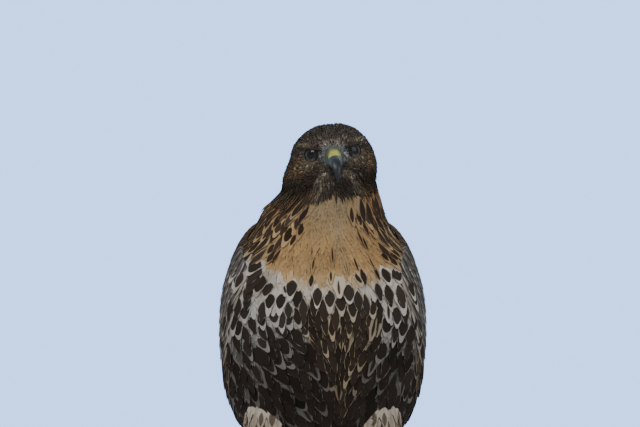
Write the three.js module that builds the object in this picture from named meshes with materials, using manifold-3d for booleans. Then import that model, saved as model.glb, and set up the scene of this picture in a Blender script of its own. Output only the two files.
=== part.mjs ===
// A red-tailed hawk, life size, standing and looking ahead. Millimetres, +Z up.
// The bird faces -Y, its left side is +X, and its feet and tail tip rest on z = 0.
import * as THREE from "three";
import { mergeVertices } from "three/addons/utils/BufferGeometryUtils.js";
import Module from "manifold-3d";

const wasm = await Module();
wasm.setup();

// Driving dimensions
const GAP = 0.3; // between pieces that meet
const COVER = 0.3; // half of a vane's thickness at its shaft
const FEATHER_TILT = -0.1; // rise across a folded vane, so that each lies under the next
const TAIL_LENGTH = 212;
const TAIL_SLOPE = 37; // degrees below the horizontal
const HALF_STANCE = 38; // from the middle plane to each foot
const EYE_RADIUS = 9.5;
const EYE_SPACING = 13.8; // from the middle plane of the head to each eye's centre
const HEAD_ROLL = -6.3; // degrees, towards the bird's right
const HEAD_PITCH = 8; // degrees, bill down
const HEAD_YAW = 2; // degrees, towards the bird's left
const SEED = 7;

const degrees = THREE.MathUtils.degToRad;
const lerp = THREE.MathUtils.lerp;
const smoothstep = THREE.MathUtils.smoothstep;
const vec = (x, y, z) => new THREE.Vector3(x, y, z);

// Evenly spread random numbers from 0 to 1, the same in each run.
let randomState = SEED;
function random() {
  randomState = (randomState * 1664525 + 1013904223) % 4294967296;
  return randomState / 4294967296;
}
const about = (value, share) => value * (1 + share * (2 * random() - 1));

// Solids: a closed mesh becomes one for joining and cutting, and comes back as a geometry.
// A shape whose faces point inwards is turned the right way out.
function solid(geometry) {
  const bare = geometry.clone();
  bare.deleteAttribute("normal");
  bare.deleteAttribute("uv");
  const merged = mergeVertices(bare, 1e-4);
  const vertProperties = new Float32Array(merged.attributes.position.array);
  const triVerts = new Uint32Array(merged.index.array);
  const made = () => new wasm.Manifold(new wasm.Mesh({ numProp: 3, vertProperties, triVerts }));
  const first = made();
  if (first.volume() > 0) return first;
  for (let i = 1; i < triVerts.length; i += 3) [triVerts[i], triVerts[i + 1]] = [triVerts[i + 1], triVerts[i]];
  return made();
}

function geometryOf(piece) {
  const mesh = piece.getMesh();
  const geometry = new THREE.BufferGeometry();
  geometry.setAttribute("position", new THREE.BufferAttribute(mesh.vertProperties, 3));
  geometry.setIndex(new THREE.BufferAttribute(mesh.triVerts, 1));
  return geometry;
}

const join = (pieces) => pieces.reduce((whole, piece) => whole.add(piece));
const largest = (piece) => piece.decompose().sort((a, b) => b.volume() - a.volume())[0];
const mirrored = (piece) => piece.mirror([1, 0, 0]);

// A value or a row of values at place u of a list, on a smooth curve through its entries.
function along(list, u) {
  const at = Math.min(Math.max(u, 0), list.length - 1);
  const i = Math.min(Math.floor(at), list.length - 2);
  const t = at - i;
  const four = [i - 1, i, i + 1, i + 2].map((k) => list[Math.min(Math.max(k, 0), list.length - 1)]);
  const curve = (p, q, r, s) =>
    0.5 * (2 * q + (r - p) * t + (2 * p - 5 * q + 4 * r - s) * t * t + (3 * q - p - 3 * r + s) * t ** 3);
  return Array.isArray(four[0])
    ? four[0].map((_, k) => curve(four[0][k], four[1][k], four[2][k], four[3][k]))
    : curve(...four);
}

// A closed body over rings of points, with both ends filled.
function overRings(rings) {
  const sides = rings[0].length;
  const middle = (ring) => ring.reduce((sum, p) => sum.add(p), vec(0, 0, 0)).divideScalar(sides);
  const points = [...rings.flat(), middle(rings[0]), middle(rings.at(-1))];
  const faces = [];
  for (let i = 0; i < rings.length - 1; i++) {
    for (let j = 0; j < sides; j++) {
      const a = i * sides + j;
      const b = i * sides + ((j + 1) % sides);
      faces.push(a, b, b + sides, a, b + sides, a + sides);
    }
  }
  const last = (rings.length - 1) * sides;
  for (let j = 0; j < sides; j++) {
    const k = (j + 1) % sides;
    faces.push(rings.length * sides, k, j, rings.length * sides + 1, last + j, last + k);
  }
  const geometry = new THREE.BufferGeometry().setFromPoints(points);
  geometry.setIndex(faces);
  return solid(geometry);
}

// A row says one cross-section in the plane of forward and up: the front or lower point, the
// back or upper point, the half width, a shift sideways, and how much narrower the front is.
function sectionPoint([frontY, frontZ, backY, backZ, half, shift = 0, egg = 0], angle) {
  const c = Math.cos(angle);
  const y = (frontY + backY) / 2 - ((backY - frontY) / 2) * c;
  const z = (frontZ + backZ) / 2 - ((backZ - frontZ) / 2) * c;
  return vec(shift + half * Math.sin(angle) * (1 - egg * c), y, z);
}

// A closed body over the sections of a list of rows, with steps more rings between them.
function loft(rows, sides, steps = 1) {
  const rings = [];
  for (let k = 0; k <= (rows.length - 1) * steps; k++) {
    const row = along(rows, k / steps);
    rings.push(Array.from({ length: sides }, (_, j) => sectionPoint(row, (2 * Math.PI * j) / sides)));
  }
  return overRings(rings);
}

const placed = (piece, matrix) => piece.transform(matrix.toArray());

// Everything on one side of a plane through a point.
function halfSpace(point, towards) {
  const size = 900;
  const box = new THREE.BoxGeometry(size, size, size).translate(0, 0, size / 2);
  const turn = new THREE.Quaternion().setFromUnitVectors(vec(0, 0, 1), towards.clone().normalize());
  return solid(box.applyQuaternion(turn).translate(point.x, point.y, point.z));
}
const underFloor = halfSpace(vec(0, 0, 0), vec(0, 0, -1));

// The body's outline, from the tail root up to the crown.
const BODY = [
  [104, 116, 108, 124, 7, 0, 0],
  [86, 108, 104, 146, 28, 0, 0],
  [48, 106, 92, 180, 52, 0, 0],
  [5, 116, 80, 214, 68, 0, 0],
  [-38, 138, 68, 245, 77, 0, 0],
  [-70, 174, 56, 272, 79.5, 0, 0],
  [-84, 217, 44, 295, 77, 0, 0.02],
  [-82, 258, 32, 314, 69, 0, 0.04],
  [-69, 292, 22, 331, 56.5, 0, 0.05],
  [-56, 318, 16, 346, 48.5, 0.2, 0.06],
  [-51, 338, 16, 356, 40.8, 2, 0.08],
  [-53, 352, 15, 368, 39.8, 4.8, 0.12],
  [-56, 366, 12, 380, 35.6, 7.4, 0.16],
  [-55, 379, 5, 390, 30.8, 7.2, 0.14],
  [-47, 390, -7, 397.5, 22, 7.6, 0.06],
  [-36, 397, -18, 400.8, 11, 7.8, 0],
];
const NECK_FROM = 8;
const HEAD_FROM = 10;
const TURN_FROM = 8.5; // the head's roll grows from here to the head
const EYES_MID = vec(7.6, -30, 374);

const headTurn = new THREE.Matrix4().makeRotationY(degrees(HEAD_ROLL));
headTurn.multiply(new THREE.Matrix4().makeRotationX(degrees(HEAD_PITCH)));
headTurn.multiply(new THREE.Matrix4().makeRotationZ(degrees(HEAD_YAW)));
headTurn.setPosition(EYES_MID);

function bodyPoint(a, angle) {
  const point = sectionPoint(along(BODY, a), angle);
  const share = smoothstep(a, TURN_FROM, HEAD_FROM);
  return point.sub(EYES_MID).applyAxisAngle(vec(0, 1, 0), degrees(HEAD_ROLL) * share).add(EYES_MID);
}

// A point off a surface of two parameters, at a height along its outward normal.
function lifted(surface, u, v, height) {
  const small = 0.01;
  const du = surface(u + small, v).sub(surface(u - small, v));
  const dv = surface(u, v + small).sub(surface(u, v - small));
  return surface(u, v).addScaledVector(dv.cross(du).normalize(), height);
}

function bodyLength(from, to, sides, steps, height = 0) {
  const count = Math.round((to - from) * steps);
  const rings = Array.from({ length: count + 1 }, (_, k) => {
    const a = THREE.MathUtils.clamp(lerp(from, to, k / count), 0.02, BODY.length - 1.02);
    return Array.from({ length: sides }, (_, j) => lifted(bodyPoint, a, (2 * Math.PI * j) / sides, height));
  });
  return overRings(rings);
}

const TRUNK_SIDES = 26;
const HEAD_SIDES = 22;
const seam = GAP / 30; // a section's spacing is about 30 mm
const torso = bodyLength(0, NECK_FROM - seam, TRUNK_SIDES, 2);
const torsoRoom = bodyLength(0, NECK_FROM - seam, TRUNK_SIDES, 2, GAP + 0.1);
const neck = bodyLength(NECK_FROM, HEAD_FROM - 2 * seam, TRUNK_SIDES, 2);
const neckRoom = bodyLength(NECK_FROM, HEAD_FROM - 2 * seam, TRUNK_SIDES, 2, GAP + 0.1);
const headBall = bodyLength(HEAD_FROM, BODY.length - 1, HEAD_SIDES, 2);

// A smooth rod through points with a radius at each, for lids, lips and brows.
function rod(points, radii, sides, flat = 1) {
  const curve = new THREE.CatmullRomCurve3(points);
  const rings = radii.map((radius, k) => {
    const centre = curve.getPoint(k / (radii.length - 1));
    const ahead = curve.getTangent(k / (radii.length - 1));
    const up = vec(0, 0, 1).cross(ahead).cross(ahead).normalize().negate();
    const side = ahead.clone().cross(up);
    return Array.from({ length: sides }, (_, j) => {
      const angle = (2 * Math.PI * j) / sides;
      return centre
        .clone()
        .addScaledVector(side, Math.cos(angle) * radius)
        .addScaledVector(up, Math.sin(angle) * radius * flat);
    });
  });
  return overRings(rings);
}

// Head pieces are made level and facing -Y, from the middle between the eyes, then turned.
const onHead = (piece) => placed(piece, headTurn);
const bothSides = (make) => [1, -1].map((side) => make(side));

const EYE_BACK = -12; // how far the eye's centre lies ahead of the middle between the eyes
const EYE_LOOK = 40; // degrees from straight ahead
const eyeBall = (side, radius) =>
  onHead(
    solid(
      new THREE.SphereGeometry(radius, 14, 8)
        .rotateX(Math.PI / 2)
        .rotateZ(degrees(side * EYE_LOOK))
        .translate(side * EYE_SPACING, EYE_BACK, 0),
    ),
  );

// The lids are a ring about the opening of the eye, a little flattened by the brow.
function lids(side) {
  const ring = new THREE.TorusGeometry(6.9, 1.5, 4, 14).scale(1, 0.94, 1);
  ring.rotateX(Math.PI / 2).translate(0, -EYE_RADIUS + 2.4, 0);
  ring.rotateZ(degrees(side * EYE_LOOK)).translate(side * EYE_SPACING, EYE_BACK, 0);
  return onHead(solid(ring));
}

function brow(side) {
  const points = [[8, -25.5, 7], [16, -24, 7.6], [24.5, -14, 9.4], [28, -2, 10]];
  const placedPoints = points.map(([x, y, z]) => vec(side * x, y, z));
  return onHead(rod(placedPoints, [1.4, 2.9, 3.3, 3.2, 2.0], 6, 0.8));
}

// Two thin lips on each side, with the line of the mouth between them, back to its corner.
function lip(side, drop) {
  const points = [[7.2, -30, -14], [12.5, -23.5, -13.6], [18.5, -17, -12.2]];
  const placedPoints = points.map(([x, y, z]) => vec(side * x, y, z - drop));
  return onHead(rod(placedPoints, [1.3, 1.5, 1.1, 0.6], 6, 0.8));
}

// The bill and cere: lower edge, ridge and half width, with forward as -Y.
const CERE = [
  [-20, -13, -22, 6.4, 7.4],
  [-29, -13.4, -28.5, 4.2, 7.4],
  [-36.6, -12.8, -36, -2.6, 6.5],
];
const UPPER_BILL = [
  [-37, -12.9, -36.4, -2.9, 6.3],
  [-42.4, -13.6, -43.6, -6.2, 5.2],
  [-45.6, -15.4, -48.6, -11.6, 3.8],
  [-46.8, -19, -50.2, -17.4, 2.6],
  [-47.6, -22.6, -49.8, -22, 1.4],
  [-48.4, -25.4, -49.2, -25.2, 0.4],
];
const LOWER_BILL = [
  [-20, -20, -20, -14, 6.2],
  [-31, -19.4, -31, -14.2, 5.4],
  [-38, -18.8, -38, -14.6, 4.4],
  [-43.4, -17, -43, -14.9, 2.4],
];
const grown = (rows, by) => rows.map(([y, z, b, c, w]) => [y, z - by, b, c + by, w + by]);
const deeper = ([[y, z, b, c, w], ...rest], by) => [[y + by, z, b + by, c, w], ...rest];
const headRoom = (rows, sides, steps) => onHead(loft(grown(deeper(rows, GAP + 0.1), GAP), sides, steps));
const NOSTRIL = vec(6.1, -32, -5.4);
function nostril(side) {
  const hole = new THREE.SphereGeometry(1, 8, 6).scale(1.5, 1.8, 1.3);
  return onHead(solid(hole.translate(side * NOSTRIL.x, NOSTRIL.y, NOSTRIL.z)));
}

const cere = onHead(loft(CERE, 14, 2)).subtract(join(bothSides(nostril)));
const upperBill = onHead(loft(UPPER_BILL, 12, 2));
const lowerBill = onHead(loft(LOWER_BILL, 10, 1)).subtract(onHead(loft(grown(UPPER_BILL, GAP), 12, 2)));
const eyes = bothSides((side) => eyeBall(side, EYE_RADIUS));
const upperLip = (side) => lip(side, 0);
const lowerLip = (side) => lip(side, 2.6);
const head = largest(
  join([headBall, ...[lids, brow, upperLip, lowerLip].flatMap(bothSides)])
    .subtract(join(bothSides((side) => eyeBall(side, EYE_RADIUS + GAP + 0.1))))
    .subtract(headRoom(CERE, 14, 2))
    .subtract(headRoom(LOWER_BILL, 10, 1)),
);

// One feather: a thin blade from root to tip over a surface, with its root sunk in what it
// grows from and up at its height by a fifth of its length.
const LONG_BLADE = { at: [0, 0.2, 0.6, 0.92, 1], wide: [0.4, 0.8, 1, 0.72, 0.2], across: [-1, 0, 1] };
const FLAT_BLADE = { at: [0, 0.2, 0.6, 0.92, 1], wide: [0.4, 0.8, 1, 0.72, 0.2], across: [-1, 1] };
const SHORT_BLADE = { at: [0, 0.35, 0.88, 1], wide: [0.7, 0.98, 0.8, 0.3], across: [-1, 1] };

function feather(place, reach, blade, { root, tip, width, heights, sink = 3, tilt = FEATHER_TILT }) {
  const rings = blade.at.map((v, k) => {
    const s = lerp(root[0], tip[0], v);
    const t = lerp(root[1], tip[1], v);
    const half = (width / 2) * blade.wide[k];
    const rise = lerp(heights[0], heights[1], v) - sink * (1 - smoothstep(v, 0, 0.2));
    const step = half / reach(s, t);
    const edge = (side, up) => place(s, t + side * step, rise + side * half * tilt + up);
    const below = blade.across.map((side) => edge(side, -COVER));
    const above = blade.across.map((side) => edge(side, COVER));
    return [...below, ...above.reverse()];
  });
  return overBlade(rings);
}

// A closed blade over sections that go across below and back above, split alike on both faces.
function overBlade(rings) {
  const around = rings[0].length;
  const half = around / 2;
  const faces = [];
  for (let i = 0; i < rings.length - 1; i++) {
    for (let j = 0; j < around; j++) {
      const k = (j + 1) % around;
      const [a, b, c, d] = [i * around + j, i * around + k, (i + 1) * around + k, (i + 1) * around + j];
      faces.push(...(j < half ? [a, b, c, a, c, d] : [a, b, d, b, c, d]));
    }
  }
  const end = (rings.length - 1) * around;
  for (let j = 0; j < half - 1; j++) {
    const [a, b, c, d] = [j, j + 1, around - 2 - j, around - 1 - j];
    faces.push(a, d, b, b, d, c, end + a, end + b, end + d, end + b, end + c, end + d);
  }
  const geometry = new THREE.BufferGeometry().setFromPoints(rings.flat());
  geometry.setIndex(faces);
  return solid(geometry);
}

// The bird's wrapped outline with its folded wings: behind the trunk it follows the wing tips.
const WRAP = [
  [250, -12, 252, 23, 22, 0, 0],
  [220, 4, 226, 43, 27, 0, 0],
  [186, 24, 196, 65, 32, 0, 0],
  [152, 46, 167, 88, 37, 0, 0],
  [118, 68, 142, 112, 43, 0, 0],
  [84, 92, 119, 148, 51, 0, 0],
  [46, 106, 98, 183, 60, 0, 0],
];
const WRAP_START = -4;
const WRAPPED = [...WRAP, ...BODY.slice(WRAP_START + WRAP.length)];
const wrapPoint = (b, angle) => sectionPoint(along(WRAPPED, b - WRAP_START), angle);

// The left wing's surface: s from the wrist to the tip, t from the leading edge to the back.
const EDGE_LOW = [58, 68, 80, 92, 112, 128];
const EDGE_HIGH = [128, 160, 171, 173, 168, 156];
const PLACE_LOW = [7.0, 5.1, 3.0, 0.9, -1.5, -3.75];
const PLACE_HIGH = [8.1, 6.2, 3.9, 1.6, -1.2, -3.6];
const byLength = (list, s) => along(list, s * (list.length - 1));
function wingPoint(s, t) {
  const b = lerp(byLength(PLACE_LOW, s), byLength(PLACE_HIGH, s), t);
  return wrapPoint(b, degrees(lerp(byLength(EDGE_LOW, s), byLength(EDGE_HIGH, s), t)));
}
function onWing(s, t, height) {
  const small = 0.01;
  const ds = wingPoint(s + small, t).sub(wingPoint(s - small, t));
  const dt = wingPoint(s, t + small).sub(wingPoint(s, t - small));
  return wingPoint(s, t).addScaledVector(dt.cross(ds).normalize().negate(), height);
}
const wingReach = (s, t) => wingPoint(s, t + 0.05).distanceTo(wingPoint(s, t - 0.05)) * 10;

// The arm under the feathers: a pillow whose edges sink into the body's side.
const ARM_END = 0.6;
const ARM_HEIGHT = 3.8;
const ARM_DEPTH = 9;
function wingArm() {
  const rings = [];
  const lengthSteps = 9;
  const widthSteps = 6;
  for (let i = 0; i <= lengthSteps; i++) {
    const s = (ARM_END * i) / lengthSteps;
    const front = smoothstep(s, -0.015, 0.075);
    const thin = smoothstep(s, 0.4, ARM_END);
    const upper = [];
    const lower = [];
    for (let j = 0; j <= widthSteps; j++) {
      const t = j / widthSteps;
      const side = Math.min(smoothstep(t, -0.04, 0.16), smoothstep(1 - t, -0.04, 0.14));
      const top = lerp(-2.5, lerp(ARM_HEIGHT, 1.5, thin), front * side);
      upper.push(onWing(s, t, top));
      lower.push(onWing(s, t, Math.min(lerp(-ARM_DEPTH, -4, thin), top - 1.4)));
    }
    rings.push([...upper, ...lower.reverse()]);
  }
  return overRings(rings);
}

// Tiers of the wing, each with a count, a width, a line of roots, a line of tips, and the
// height at root and tip over the body's outline. A level is each feather's step up from the last.
const WING_ROWS = [
  {
    count: 6, blade: LONG_BLADE, width: 14, heights: [-3.4, -3.2], tilt: 0, level: 1.4,
    roots: [[0.46, 0.1], [0.5, 0.7]],
    tips: [[0.93, 0.08], [0.985, 0.24], [1.0, 0.42], [0.935, 0.58], [0.85, 0.74], [0.76, 0.88]],
  },
  {
    count: 8, blade: LONG_BLADE, width: 18, heights: [4.8, 4.6], tilt: -0.1, level: 0.25,
    roots: [[0.37, 0.08], [0.36, 0.88]],
    tips: [[0.62, 0.06], [0.68, 0.32], [0.69, 0.58], [0.66, 0.78], [0.57, 0.92]],
  },
  {
    count: 8, blade: SHORT_BLADE, width: 17, heights: [5.0, 7.6],
    roots: [[0.29, 0.08], [0.28, 0.84]],
    tips: [[0.43, 0.06], [0.44, 0.4], [0.42, 0.86]],
  },
  {
    count: 7, blade: SHORT_BLADE, width: 18, heights: [4.8, 7.0],
    roots: [[0.205, 0.08], [0.195, 0.82]],
    tips: [[0.33, 0.06], [0.335, 0.4], [0.32, 0.84]],
  },
  {
    count: 6, blade: SHORT_BLADE, width: 18, heights: [4.8, 7.0],
    roots: [[0.13, 0.1], [0.12, 0.78]],
    tips: [[0.24, 0.08], [0.245, 0.4], [0.23, 0.82]],
  },
  {
    count: 4, blade: SHORT_BLADE, width: 18, heights: [4.6, 7.0],
    roots: [[0.06, 0.18], [0.05, 0.72]],
    tips: [[0.16, 0.14], [0.16, 0.4], [0.15, 0.78]],
  },
];
const SCAPULARS = { count: 4, width: 20, heights: [6, 10] };
const ALULA = { root: [0.12, 0.03], tip: [0.31, 0.01], width: 13, heights: [3.6, 5.4] };

function wingRow({ count, blade, width, heights, roots, tips, tilt, level = 0 }) {
  return Array.from({ length: count }, (_, k) => {
    const share = k / (count - 1);
    const tip = along(tips, share * (tips.length - 1));
    return feather(onWing, wingReach, blade, {
      root: [lerp(roots[0][0], roots[1][0], share), lerp(roots[0][1], roots[1][1], share)],
      tip: [about(tip[0], 0.006), tip[1]],
      width: about(width, 0.03),
      heights: heights.map((height) => height + k * level),
      tilt,
    });
  });
}

// A row of broad feathers over the shoulder, along the back edge of the wing.
function scapulars() {
  return Array.from({ length: SCAPULARS.count }, (_, k) => {
    const share = k / (SCAPULARS.count - 1);
    const s = lerp(0.02, 0.27, share);
    return feather(onWing, wingReach, SHORT_BLADE, {
      root: [s, 0.98],
      tip: [about(s + 0.17, 0.02), 0.87],
      width: SCAPULARS.width,
      heights: SCAPULARS.heights,
      sink: 6,
    });
  });
}

const alula = feather(onWing, wingReach, SHORT_BLADE, ALULA);
const wingWhole = join([wingArm(), ...WING_ROWS.flatMap(wingRow), ...scapulars(), alula]);
const wing = largest(wingWhole.subtract(torsoRoom).subtract(neckRoom));

// The tail: s in millimetres from its root, t across it, the height above its middle layer.
const TAIL_ROOT = vec(0, 88, 128);
const TAIL_ARCH = 3.4; // drop of the outer feathers
const RECTRIX_STEP = 1.05; // each outer feather lies this much lower
const tailAhead = vec(0, Math.cos(degrees(TAIL_SLOPE)), -Math.sin(degrees(TAIL_SLOPE)));
const tailUp = vec(0, Math.sin(degrees(TAIL_SLOPE)), Math.cos(degrees(TAIL_SLOPE)));
const onTail = (s, t, height) =>
  TAIL_ROOT.clone()
    .addScaledVector(tailAhead, s)
    .addScaledVector(tailUp, height - TAIL_ARCH * (t / 30) ** 2)
    .add(vec(t, 0, 0));
const flatReach = () => 1;
const RECTRICES = [
  { tip: 0.5, root: 0.6, level: 0 },
  { tip: -2, root: -1, level: -1 },
  { tip: 12.2, root: 3.4, level: -2 },
  { tip: 16.6, root: 5, level: -3 },
  { tip: 20, root: 6.4, level: -4 },
  { tip: 22.6, root: 7.6, level: -5 },
  { tip: 24.8, root: 8.6, level: -6 },
];

function rectrices() {
  return RECTRICES.flatMap(({ tip, root, level }) => {
    const sidesMade = level > -2 ? [1] : [1, -1];
    return sidesMade.map((side) =>
      feather(onTail, flatReach, FLAT_BLADE, {
        root: [30, side * root],
        tip: [about(TAIL_LENGTH + level * 1.2, 0.006), side * tip],
        width: 23,
        heights: [2.6 + level * 0.9, 3 + level * RECTRIX_STEP],
        sink: 0,
        tilt: 0,
      }),
    );
  });
}

// Five coverts over and five under the tail's root, the middle one outermost.
function tailCoverts(above) {
  const up = above ? 1 : -1;
  return [0, 1, -1, 2, -2].map((place) => {
    const order = Math.abs(place);
    const across = Math.sign(place) * (order === 2 ? 15.4 : 8.9);
    const out = above ? 8.4 - 1.2 * order : -8.6 + 1.2 * order;
    return feather(onTail, flatReach, SHORT_BLADE, {
      root: [16, across * 0.9],
      tip: [about((above ? 86 : 98) - 9 * order, 0.02), across],
      width: 17,
      heights: [out, out - up * 1.6],
      sink: up * 3,
      tilt: 0,
    });
  });
}

// The fleshy tail root that every tail feather grows from.
function tailCore() {
  const rows = [
    [-4, 10, 14, 8],
    [18, 8.6, 17, 8.4],
    [38, 6.4, 16, 7],
    [54, 3.6, 13, 5],
  ];
  const rings = rows.map(([s, up, half, down]) =>
    Array.from({ length: 14 }, (_, j) => {
      const angle = (2 * Math.PI * j) / 14;
      const lift = Math.sin(angle) > 0 ? up : down;
      return onTail(s, Math.cos(angle) * half, Math.sin(angle) * lift - 0.6);
    }),
  );
  return overRings(rings);
}
const tail = largest(
  join([tailCore(), ...rectrices(), ...tailCoverts(true), ...tailCoverts(false)])
    .subtract(torsoRoom)
    .subtract(underFloor),
);

// Legs: rows of front, back and half width, for the left leg with its foot at x = 0.
const THIGH = [
  [-42, 176, 22, 180, 22],
  [-40, 152, 30, 162, 26],
  [-22, 128, 38, 142, 23],
  [-2, 108, 44, 122, 17],
  [12, 92, 46, 102, 12],
  [19, 81, 42, 88, 8.5],
];
const SHANK = [
  [18.5, 98, 38, 98, 7.5],
  [19, 88, 37.6, 89, 8],
  [16.4, 78, 30, 80, 6.6],
  [10.4, 60, 22.6, 62, 5.6],
  [4.2, 40, 16.2, 41, 5.5],
  [-1.8, 22, 12, 22, 6.4],
  [-6, 10, 13, 10, 8],
];
const ANKLE_CUT = 83; // height at which the bare shank comes out of the feathers
const FOOT_TOP = 17;
const toFoot = (side) => new THREE.Matrix4().makeTranslation(side * HALF_STANCE, 0, 0);
const thighRaw = placed(loft(THIGH, 18, 2), new THREE.Matrix4().makeTranslation(HALF_STANCE + 1, 0, 0));
const belowAnkle = halfSpace(vec(0, 30, ANKLE_CUT), vec(0, 0.25, -1));
const thigh = largest(thighRaw.subtract(torsoRoom).subtract(belowAnkle));

// Broad plates down the front of the shank: the front half swells to each plate's lower edge.
const PLATES = 9;
function shankPlated() {
  const rings = [];
  for (let k = 0; k <= PLATES * 2 + 1; k++) {
    const u = lerp(0.6, 5.9, k / (PLATES * 2 + 1));
    const row = along(SHANK, u);
    const swell = k % 2 ? 1.1 : 0;
    rings.push(
      Array.from({ length: 10 }, (_, j) => {
        const angle = (2 * Math.PI * j) / 10;
        const point = sectionPoint(row, angle);
        const front = Math.max(0, Math.cos(angle));
        return point.add(vec(swell * Math.sin(angle) * front, -swell * front, swell * 0.9 * front));
      }),
    );
  }
  return overRings(rings);
}
const shank = placed(shankPlated(), toFoot(1))
  .subtract(halfSpace(vec(0, 30, ANKLE_CUT - GAP - 0.05), vec(0, -0.25, 1)))
  .subtract(halfSpace(vec(0, 0, FOOT_TOP), vec(0, 0, -1)));

// Toes of the left foot: angle from straight ahead, towards the bird's left, and lengths.
const TOES = {
  middle: { turn: 3, length: 46, claw: 20, thick: 5.4 },
  inner: { turn: -34, length: 33, claw: 24, thick: 5.6 },
  outer: { turn: 38, length: 38, claw: 18, thick: 4.8 },
  hind: { turn: 176, length: 27, claw: 25, thick: 5.6 },
};
const TOE_START = 3;
function toeTurn(side, toe) {
  const turn = new THREE.Matrix4().makeRotationZ(degrees(side * toe.turn));
  return turn.setPosition(side * HALF_STANCE, 2, 0);
}

// A toe has plates on its upper side: each ring pair steps down like a roof's slates.
function toeSolid(side, name) {
  const toe = TOES[name];
  const plates = Math.round(toe.length / 7.5);
  const rings = [];
  for (let k = 0; k <= plates * 2; k++) {
    const v = k / (plates * 2);
    const reach = lerp(TOE_START, toe.length, v);
    const knuckle = 1 + 0.1 * Math.cos(v * Math.PI * 4.5);
    const radius = lerp(toe.thick, toe.thick * 0.72, v) * knuckle;
    const swell = k % 2 ? 0.7 : 0;
    rings.push(
      Array.from({ length: 8 }, (_, j) => {
        const angle = (2 * Math.PI * j) / 8;
        const above = Math.max(0, -Math.cos(angle));
        const high = radius * lerp(1.36, 0.96, v) - 0.6;
        const out = radius + swell * above;
        return vec(out * Math.sin(angle), -reach, high - out * Math.cos(angle));
      }),
    );
  }
  return placed(overRings(rings), toeTurn(side, toe));
}

// A claw is a tapering hook from the toe's end, over and down to a point just off the floor.
function clawSolid(side, name) {
  const toe = TOES[name];
  const base = toe.thick * 0.72;
  const rows = [0, 0.25, 0.5, 0.75, 1].map((v) => {
    const thick = lerp(base * 0.86, 0.45, v ** 0.8);
    const bend = v * degrees(78);
    const reach = toe.length + GAP + Math.sin(bend) * toe.claw * 0.82;
    const fall = (1 - Math.cos(bend)) * (base + 0.8) * 1.02;
    const high = base + 0.8 + Math.sin(v * Math.PI) * 2.6 - fall + v * 0.9;
    const lean = bend * 0.9;
    const [ahead, above] = [Math.sin(lean) * thick, Math.cos(lean) * thick];
    return [-reach + ahead, high - above, -reach - ahead, high + above, thick * 0.8];
  });
  return placed(loft(rows, 7, 1), toeTurn(side, toe));
}

function footSolid(side) {
  const ball = new THREE.SphereGeometry(1, 12, 7).scale(11, 12, 9);
  const palm = solid(ball.translate(side * HALF_STANCE, 2, 7.4));
  const stem = placed(loft(SHANK.slice(-3), 10, 1), toFoot(side));
  const whole = join([palm, stem, ...Object.keys(TOES).map((name) => toeSolid(side, name))]);
  return largest(
    whole
      .subtract(underFloor)
      .subtract(halfSpace(vec(0, 0, FOOT_TOP - GAP), vec(0, 0, 1)))
      .subtract(join(Object.keys(TOES).map((name) => clawRoom(side, name)))),
  );
}

// Clears the space ahead of a toe's end, where its claw sits.
function clawRoom(side, name) {
  const toe = TOES[name];
  const box = new THREE.BoxGeometry(14, 20, 30).translate(0, -toe.length - 10 + 0.05, 5);
  return placed(solid(box), toeTurn(side, toe));
}

// Colours and finishes
const finish = (color, roughness) => new THREE.MeshStandardMaterial({ color, roughness, metalness: 0 });
const FINISH = {
  breast: finish(0xc9b08a, 0.9),
  brown: finish(0x4a3b31, 0.85),
  rust: finish(0x9a5230, 0.8),
  yellow: finish(0xc9b83e, 0.55),
  horn: finish(0x2b3138, 0.35),
  iris: finish(0x3a2a20, 0.1),
};

const hawk = new THREE.Group();
function add(name, piece, material) {
  const mesh = new THREE.Mesh(geometryOf(piece), material);
  mesh.name = name;
  hawk.add(mesh);
}

add("torso", torso, FINISH.breast);
add("neck", neck, FINISH.brown);
add("head", head, FINISH.brown);
add("cere", cere, FINISH.yellow);
add("bill_upper", upperBill, FINISH.horn);
add("bill_lower", lowerBill, FINISH.horn);
add("eye_left", eyes[0], FINISH.iris);
add("eye_right", eyes[1], FINISH.iris);
add("wing_left", wing, FINISH.brown);
add("wing_right", mirrored(wing), FINISH.brown);
add("tail", tail, FINISH.rust);
add("thigh_left", thigh, FINISH.breast);
add("thigh_right", mirrored(thigh), FINISH.breast);
add("shank_left", shank, FINISH.yellow);
add("shank_right", mirrored(shank), FINISH.yellow);
for (const [word, side] of [["left", 1], ["right", -1]]) {
  add(`foot_${word}`, footSolid(side), FINISH.yellow);
  for (const name of Object.keys(TOES)) add(`claw_${name}_${word}`, clawSolid(side, name), FINISH.horn);
}

// The origin is the middle of the base of the whole bird's box.
const middle = new THREE.Box3().setFromObject(hawk).getCenter(vec(0, 0, 0));
for (const mesh of hawk.children) mesh.geometry.translate(-middle.x, -middle.y, 0);

export default hawk;
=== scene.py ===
"""A red-tailed hawk, life size, standing on a pale floor under soft light.

The bird faces -Y with its left side towards +X. Sizes here are in millimetres, in the same
frame as the solids before they were centred, and `Place` turns them into metres at the end.
"""
from __future__ import annotations

import logging
import math
from dataclasses import dataclass, field, replace
from enum import Enum

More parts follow.
